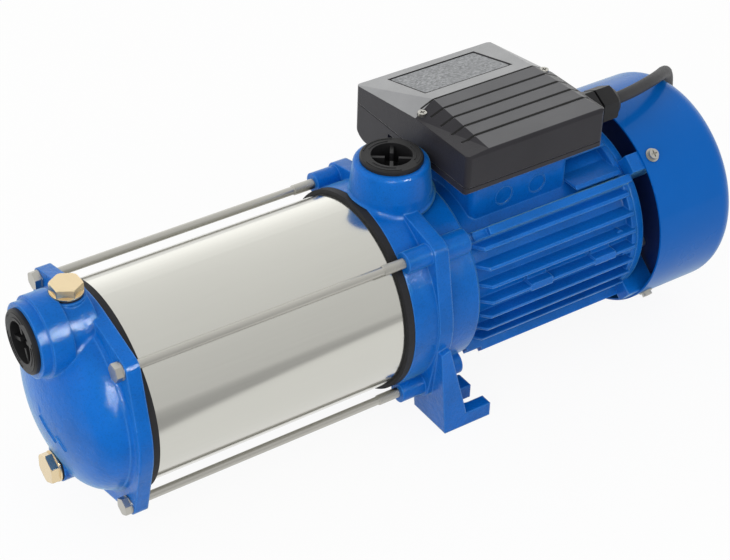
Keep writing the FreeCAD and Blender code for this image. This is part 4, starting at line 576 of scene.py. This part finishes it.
class Sheet(Graph):
    """One material under construction."""

    def __init__(self, name):
        self.material = bpy.data.materials.new(name)
        super().__init__(self.material)
        self.shader = self.nodes["Principled BSDF"]
        self.place = self.add("ShaderNodeTexCoord")

    def set(self, **values):
        for name, value in values.items():
            self.shader.inputs[name.replace("_", " ")].default_value = value

    def noise(self, scale, detail=3.0, rough=0.5, stretch=(1, 1, 1)):
        mapping = self.add("ShaderNodeMapping", {"Scale": stretch})
        self.join(self.place, "Object", mapping, "Vector")
        noise = self.add("ShaderNodeTexNoise", {"Scale": scale, "Detail": detail, "Roughness": rough})
        self.join(mapping, "Vector", noise, "Vector")
        return noise

    def bump(self, source, output, strength, distance, before=None):
        node = self.add("ShaderNodeBump", {"Strength": strength, "Distance": distance})
        self.join(source, output, node, "Height")
        if before is not None:
            self.join(before, "Normal", node, "Normal")
        return node

    def soft_edges(self, radius):
        return self.add("ShaderNodeBevel", {"Radius": radius}, samples=BEVEL_SAMPLES) if radius else None

    def highlighted_edges(self, rounded):
        """Painted highlight along edges: a factor that is high only where the rounded normal leaves the
        face's own.
        """
        plain = self.add("ShaderNodeNewGeometry")
        dot = self.add("ShaderNodeVectorMath", operation="DOT_PRODUCT")
        self.join(rounded, "Normal", dot, 0)
        self.join(plain, "Normal", dot, 1)
        return self.span(dot, "Value", *EDGE_HIGHLIGHT_RANGE, 0.0, EDGE_HIGHLIGHT_SHARE)

    def finish(self, color, rough, normal, coat=None):
        self.join(*color, self.shader, "Base Color")
        if rough is not None:
            self.join(rough, "Result", self.shader, "Roughness")
        self.join(normal, "Normal", self.shader, "Normal")
        if coat is not None:
            self.join(coat, "Normal", self.shader, "Coat Normal")
        return self.material


# Finishes

PAINT_SPECULAR = (0.2, 0.8, 1.0, 1.0)
# Lighter blue of the painted highlight along edges
EDGE_HIGHLIGHT_BLUE = (0.050, 0.25, 0.74)
# Painted highlight on faces that look up, a lighter colour in place of the reflected backdrop: ranges of the
# face's direction along Y and along Z, and what each is mapped to
HIGHLIGHT_AWAY = ((0.03, 0.13, 0.0, 1.0), (0.75, 0.88, 0.0, 1.0))
HIGHLIGHT_NEAR = ((-0.03, -0.075, 0.0, 0.36), (0.95, 0.985, 0.0, 1.0))


def shaded(color, share):
    return tuple(part * share for part in color)


def paint(name, color, cast, edge):
    """Paint on a casting: cast is the depth of its grain, edge the rounding of its edges."""
    sheet = Sheet(name)
    sheet.set(Roughness=0.34, IOR=1.5, Specular_IOR_Level=0.08, Specular_Tint=PAINT_SPECULAR,
              Sheen_Weight=0.30, Sheen_Roughness=0.32, Sheen_Tint=(0.40, 0.95, 0.85, 1.0),
              Coat_Weight=0.26, Coat_Roughness=0.045)
    broad = sheet.noise(28.0, detail=4.0, rough=0.55)
    fine = sheet.noise(900.0, detail=2.0, rough=0.6)
    light = (color[0] + 0.004, color[1] * 1.12, color[2] * 1.10)
    shade = sheet.ramp(broad, "Fac", [(0.30, shaded(color, 0.80)), (0.55, color), (0.80, light)])
    specks = sheet.ramp(fine, "Fac", [(0.36, (0.55, 0.55, 0.55)), (0.48, (1.0, 1.0, 1.0))])
    dotted = sheet.mix(0.35, (shade, "Color"), (specks, "Color"), "MULTIPLY")
    rough = sheet.span(broad, "Fac", 0.3, 0.7, 0.24, 0.40)
    lumps = sheet.noise(170.0, detail=5.0, rough=0.62)
    rounded = sheet.soft_edges(edge)
    grain = sheet.bump(lumps, "Fac", cast, 0.0009, rounded)
    skin = sheet.bump(fine, "Fac", cast * 0.5, 0.00025, grain)
    # Painted highlight: edges, hollow and raised, turn lighter blue
    edge_highlight = sheet.highlighted_edges(rounded)
    final = sheet.mix((edge_highlight, "Result"), (dotted, MIX_RESULT), EDGE_HIGHLIGHT_BLUE)
    orange = sheet.noise(330.0, detail=4.0, rough=0.68)
    gloss = sheet.bump(orange, "Fac", cast, 0.00058, rounded)
    return sheet.finish((final, MIX_RESULT), rough, skin, gloss)


def pressed_paint(name, color):
    """Paint on pressed sheet, smoother than that on the castings."""
    sheet = Sheet(name)
    sheet.set(Roughness=0.28, IOR=1.5, Specular_IOR_Level=0.12, Specular_Tint=PAINT_SPECULAR,
              Sheen_Weight=0.10, Sheen_Roughness=0.35, Sheen_Tint=(0.10, 1.0, 0.70, 1.0),
              Coat_Weight=0.15, Coat_Roughness=0.12)
    broad = sheet.noise(14.0)
    peel = sheet.noise(260.0, detail=2.0)
    shade = sheet.ramp(broad, "Fac", [(0.3, shaded(color, 0.9)), (0.7, color)])
    rough = sheet.span(broad, "Fac", 0.3, 0.7, 0.22, 0.34)
    skin = sheet.bump(peel, "Fac", 0.12, 0.0004)
    return sheet.finish((shade, "Color"), rough, skin)


def brushed(name, color, rough, scale, stretch=(0.2, 1, 1), depth=0.05, edge=0.0, dull=0.9):
    """Bare metal with lines; rough is its range, dull the share of colour left in the lines."""
    sheet = Sheet(name)
    sheet.set(Metallic=1.0, Roughness=rough[0])
    grain = sheet.noise(scale, detail=4.0, rough=0.6, stretch=stretch)
    clouds = sheet.noise(18.0)
    shade = sheet.ramp(grain, "Fac", [(0.3, shaded(color, dull)), (0.7, color)])
    mixed = sheet.mix((clouds, "Fac"), (shade, "Color"), color)
    polish = sheet.span(grain, "Fac", 0.3, 0.7, *rough)
    lines = sheet.bump(grain, "Fac", depth, 0.0002, sheet.soft_edges(edge))
    return sheet.finish((mixed, MIX_RESULT), polish, lines)


def moulded(name, color, rough, scale, depth, edge=0.0, dust=0.06, sheen=0.0, highlight_color=None):
    """Moulded plastic or rubber; the last colour, if given, is a painted highlight on faces that look up."""
    sheet = Sheet(name)
    sheet.set(Roughness=rough[0], IOR=1.48, Specular_IOR_Level=0.22, Sheen_Weight=sheen, Sheen_Roughness=0.28)
    grain = sheet.noise(scale, rough=0.6)
    clouds = sheet.noise(22.0, detail=4.0, rough=0.6)
    pale = tuple(min(1.0, part * 1.25 + dust * 0.25) for part in color)
    shade = sheet.ramp(clouds, "Fac", [(0.35, color), (0.85, pale)])
    polish = sheet.span(grain, "Fac", 0.3, 0.7, *rough)
    skin = sheet.bump(grain, "Fac", depth, 0.0003, sheet.soft_edges(edge))
    if highlight_color is None:
        return sheet.finish((shade, "Color"), polish, skin)
    # Painted highlight: faces that look up, in random patches, get the lighter colour
    facing = sheet.add("ShaderNodeSeparateXYZ")
    sheet.join(sheet.place, "Normal", facing, "Vector")

    def facing_both(y_span, z_span):
        return sheet.combine((sheet.span(facing, "Y", *y_span), "Result"),
                             (sheet.span(facing, "Z", *z_span), "Result"))
    away = facing_both(*HIGHLIGHT_AWAY)
    near = facing_both(*HIGHLIGHT_NEAR)
    level = sheet.combine((away, "Value"), (near, "Value"), "MAXIMUM")
    patches = sheet.span(clouds, "Fac", 0.2, 0.8, 0.75, 1.0)
    patchy = sheet.combine((level, "Value"), (patches, "Result"))
    highlighted = sheet.mix((patchy, "Value"), (shade, "Color"), highlight_color)
    return sheet.finish((highlighted, MIX_RESULT), polish, skin)


def copper(name):
    sheet = Sheet(name)
    sheet.set(Roughness=0.35, IOR=1.5, Coat_Weight=0.5)
    wires = sheet.add("ShaderNodeTexWave", {"Scale": 260.0, "Distortion": 3.0, "Detail": 2.0},
                      wave_type="RINGS", rings_direction="X")
    sheet.join(sheet.place, "Object", wires, "Vector")
    shade = sheet.ramp(wires, "Fac", [(0.1, (0.16, 0.05, 0.02)), (0.6, (0.46, 0.18, 0.07))])
    lines = sheet.bump(wires, "Fac", 0.7, 0.0006)
    return sheet.finish((shade, "Color"), None, lines)


def rating_area(name):
    """Plate area of mottled grey."""
    sheet = Sheet(name)
    sheet.set(Roughness=0.42, IOR=1.5, Specular_IOR_Level=0.30)
    specks = sheet.noise(520.0, rough=0.7)
    clouds = sheet.noise(60.0, rough=0.6)
    fine = sheet.ramp(specks, "Fac", [(0.40, (0.075, 0.080, 0.090)), (0.60, (0.36, 0.37, 0.385))])
    shade = sheet.mix((clouds, "Fac"), (fine, "Color"), (0.16, 0.167, 0.178))
    skin = sheet.bump(specks, "Fac", 0.2, 0.0002)
    return sheet.finish((shade, MIX_RESULT), None, skin)


FINISHES = {
    "plate": rating_area("rating_area_look"),
    # Dark navy: painted shade standing in for the dimly lit blue inside of the fan cover
    "fan": moulded("fan_shade_look", (0.004, 0.022, 0.13), (0.35, 0.5), 500.0, 0.15),
    # Near-black painted shade: strips along the grooves and the rim round the rating area
    "painted_shade": moulded("painted_shade_look", (0.006, 0.006, 0.006), (0.6, 0.7), 900.0, 0.1, dust=0.0),
    "blue_paint": paint("blue_paint_look", (0.001, 0.120, 0.50), cast=0.55, edge=0.0016),
    "cover_paint": pressed_paint("cover_paint_look", (0.001, 0.108, 0.46)),
    "barrel_steel": brushed("barrel_steel_look", (0.62, 0.615, 0.575), (0.12, 0.18), 900.0,
                            stretch=(0.02, 1, 1), depth=0.012, dull=0.95),
    "bolt_zinc": brushed("bolt_zinc_look", (0.50, 0.49, 0.455), (0.28, 0.42), 500.0, edge=0.0004),
    "black_rubber": moulded("black_rubber_look", (0.016, 0.016, 0.018), (0.55, 0.7), 600.0, 0.25,
                            edge=0.0004, dust=0.02),
    "black_plastic": moulded("black_plastic_look", (0.012, 0.012, 0.013), (0.36, 0.48), 800.0, 0.2,
                             edge=0.0004, dust=0.02),
    # Its last colour is a painted highlight on the faces of the box that look up
    "box_plastic": moulded("box_plastic_look", (0.019, 0.018, 0.022), (0.32, 0.42), 1200.0, 0.35,
                           edge=0.0008, dust=0.015, sheen=0.30, highlight_color=(0.300, 0.304, 0.314)),
    "brass": brushed("brass_look", (0.80, 0.65, 0.42), (0.22, 0.28), 90.0, stretch=(1, 1, 1),
                     depth=0.012, edge=0.0006),
    "stage_plastic": moulded("stage_plastic_look", (0.04, 0.04, 0.045), (0.4, 0.5), 500.0, 0.2),
    "shaft_steel": brushed("shaft_steel_look", (0.60, 0.60, 0.60), (0.2, 0.3), 700.0),
    "bearing_steel": brushed("bearing_steel_look", (0.72, 0.72, 0.74), (0.08, 0.14), 700.0),
    "core_steel": brushed("core_steel_look", (0.42, 0.42, 0.44), (0.35, 0.5), 260.0,
                          stretch=(8, 1, 1), depth=0.3),
    "copper_windings": copper("copper_windings_look"),
    "seal_ceramic": moulded("seal_ceramic_look", (0.82, 0.81, 0.77), (0.15, 0.22), 400.0, 0.05),
    "seal_carbon": moulded("seal_carbon_look", (0.04, 0.04, 0.04), (0.35, 0.5), 400.0, 0.1),
    "cable_sheath": moulded("cable_sheath_look", (0.035, 0.035, 0.038), (0.48, 0.6), 500.0, 0.25),
    "capacitor_can": moulded("capacitor_can_look", (0.72, 0.72, 0.70), (0.25, 0.35), 300.0, 0.05),
    "terminal_plastic": moulded("terminal_plastic_look", (0.66, 0.65, 0.60), (0.35, 0.5), 500.0, 0.1),
}


def dress(piece, material):
    piece.data.materials.clear()
    piece.data.materials.append(material)


for part in SUBPARTS:
    # The fan takes the painted shade of the cover's dim inside
    look = "fan" if part["node"] == "fan" else part["material_slot"]
    for held in NODES[part["node"]].material_slots:
        held.material = FINISHES[look]
dress(CABLE, FINISHES["cable_sheath"])
for piece in PLUG + PLUG_MARKS + THREADS + PAD_RIMS + [BOSS]:
    dress(piece, FINISHES[piece["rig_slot"]])
for piece, look in LID_DETAILS:
    dress(piece, FINISHES[look])


# Stage

FLOOR_REACH, FLOOR_HEIGHT = 6.0, -0.0002
FLOOR_GLOW = 0.92                   # share of glow in what the camera and the reflections see of it
FLOOR_WAY = (-0.8, -1.0, 0.0)       # the way that the reflected floor changes along,
FLOOR_SPAN = (0.30, 1.30)           # and between which distances
WORLD_LEVEL = 1.9
WORLD_BLEND = 0.25                  # how far the front light and the back light fade into each other
WARMTH = 0.985                      # blue of each grey
FLOOR_LIGHT = [(0.0, 1.0), (0.03, 0.42), (1.0, 0.78)]
FRONT_LIGHT = [(0.0, 0.39), (0.20, 0.40), (0.50, 0.41), (0.75, 0.45), (0.90, 0.47), (1.0, 0.48)]
BACK_LIGHT = [(0.0, 0.78), (0.16, 0.76), (0.34, 0.68), (0.60, 0.56), (1.0, 0.48)]


def warm_greys(stops):
    return [(position, (level, level, level * WARMTH)) for position, level in stops]


def floor_look():
    """Grey floor that glows in the camera's view and in reflections, where it darkens past the pump."""
    sheet = Sheet("floor_look")
    sheet.set(Base_Color=(0.80, 0.80, 0.80, 1.0), Roughness=0.7, Specular_IOR_Level=0.1)
    glow = sheet.add("ShaderNodeEmission", {"Strength": 1.0})
    path = sheet.add("ShaderNodeLightPath")
    seen = sheet.combine((path, "Is Camera Ray"), (path, "Is Glossy Ray"), "MAXIMUM")
    share = sheet.combine((seen, "Value"), FLOOR_GLOW)
    along = sheet.add("ShaderNodeVectorMath", {1: FLOOR_WAY}, operation="DOT_PRODUCT")
    sheet.join(sheet.place, "Object", along, 0)
    beyond = sheet.span(along, "Value", *FLOOR_SPAN, 0.0, 1.0)
    room = sheet.ramp(beyond, "Result", warm_greys(FLOOR_LIGHT))
    tone = sheet.mix((path, "Is Glossy Ray"), (1.0, 1.0, 1.0), (room, "Color"))
    sheet.join(tone, MIX_RESULT, glow, "Color")
    sheet.mix_shaders((share, "Value"), sheet.shader, glow, "Material Output")
    return sheet.material


def make_floor():
    made = bmesh.new()
    made.faces.new([made.verts.new((x * FLOOR_REACH, y * FLOOR_REACH, FLOOR_HEIGHT))
                    for x, y in ((-1, -1), (1, -1), (1, 1), (-1, 1))])
    data = bpy.data.meshes.new("floor")
    made.to_mesh(data)
    made.free()
    floor = bpy.data.objects.new("floor", data)
    add_to_scene(floor)
    data.materials.append(floor_look())


def make_world():
    """Studio: white to the camera; in reflections, one light by height in front and one behind."""
    world = bpy.data.worlds.new("studio")
    bpy.context.scene.world = world
    graph = Graph(world)
    place = graph.add("ShaderNodeTexCoord")
    parts = graph.add("ShaderNodeSeparateXYZ")
    graph.join(place, "Generated", parts, "Vector")
    front = graph.ramp(parts, "Z", warm_greys(FRONT_LIGHT))
    behind = graph.ramp(parts, "Z", warm_greys(BACK_LIGHT))
    side = graph.span(parts, "Y", -WORLD_BLEND, WORLD_BLEND, 0.0, 1.0)
    room = graph.mix((side, "Result"), (front, "Color"), (behind, "Color"))
    back = graph.nodes["Background"]
    back.inputs["Strength"].default_value = WORLD_LEVEL
    graph.join(room, MIX_RESULT, back, "Color")
    white = graph.add("ShaderNodeBackground", {"Color": (1.0, 1.0, 1.0, 1.0), "Strength": 1.0})
    path = graph.add("ShaderNodeLightPath")
    graph.mix_shaders((path, "Is Camera Ray"), back, white, "World Output")


def lamp(name, place, target, size, power, glossy=True):
    data = bpy.data.lights.new(name, "AREA")
    data.shape = "RECTANGLE"
    data.size, data.size_y = size
    data.energy = power
    light = bpy.data.objects.new(name, data)
    add_to_scene(light)
    light.location = place
    way = Vector(target) - Vector(place)
    light.rotation_euler = way.to_track_quat("-Z", "Y").to_euler()
    light.visible_glossy = glossy
    return light


def painted_castings():
    castings = bpy.data.collections.new("painted_castings")
    for part in SUBPARTS:
        if part["material_slot"] == "blue_paint":
            castings.objects.link(NODES[part["node"]])
    return castings


PAINTED = painted_castings()


def glint(name, place, target, size, power):
    """Lamp that only the glossy paint of the castings shows."""
    light = lamp(name, place, target, size, power)
    light.visible_diffuse = False
    light.light_linking.receiver_collection = PAINTED


make_floor()
make_world()
lamp("left_fill", (-1.25, -0.65, 0.75), (-0.05, 0.0, 0.08), (0.9, 0.9), 6.6, glossy=False)
lamp("front_fill", (0.30, -1.40, 0.80), (0.0, 0.0, 0.08), (0.9, 0.9), 2.2, glossy=False)
glint("neck_glint", (0.213, -1.084, 0.753), (-0.217, -0.019, 0.143), (0.30, 0.40), 26.0)
glint("dome_glint", (-0.752, -1.100, 0.660), (-0.217, -0.049, 0.112), (0.22, 0.45), 24.0)

bpy.context.scene.view_settings.view_transform = "Standard"
bpy.context.view_layer.update()
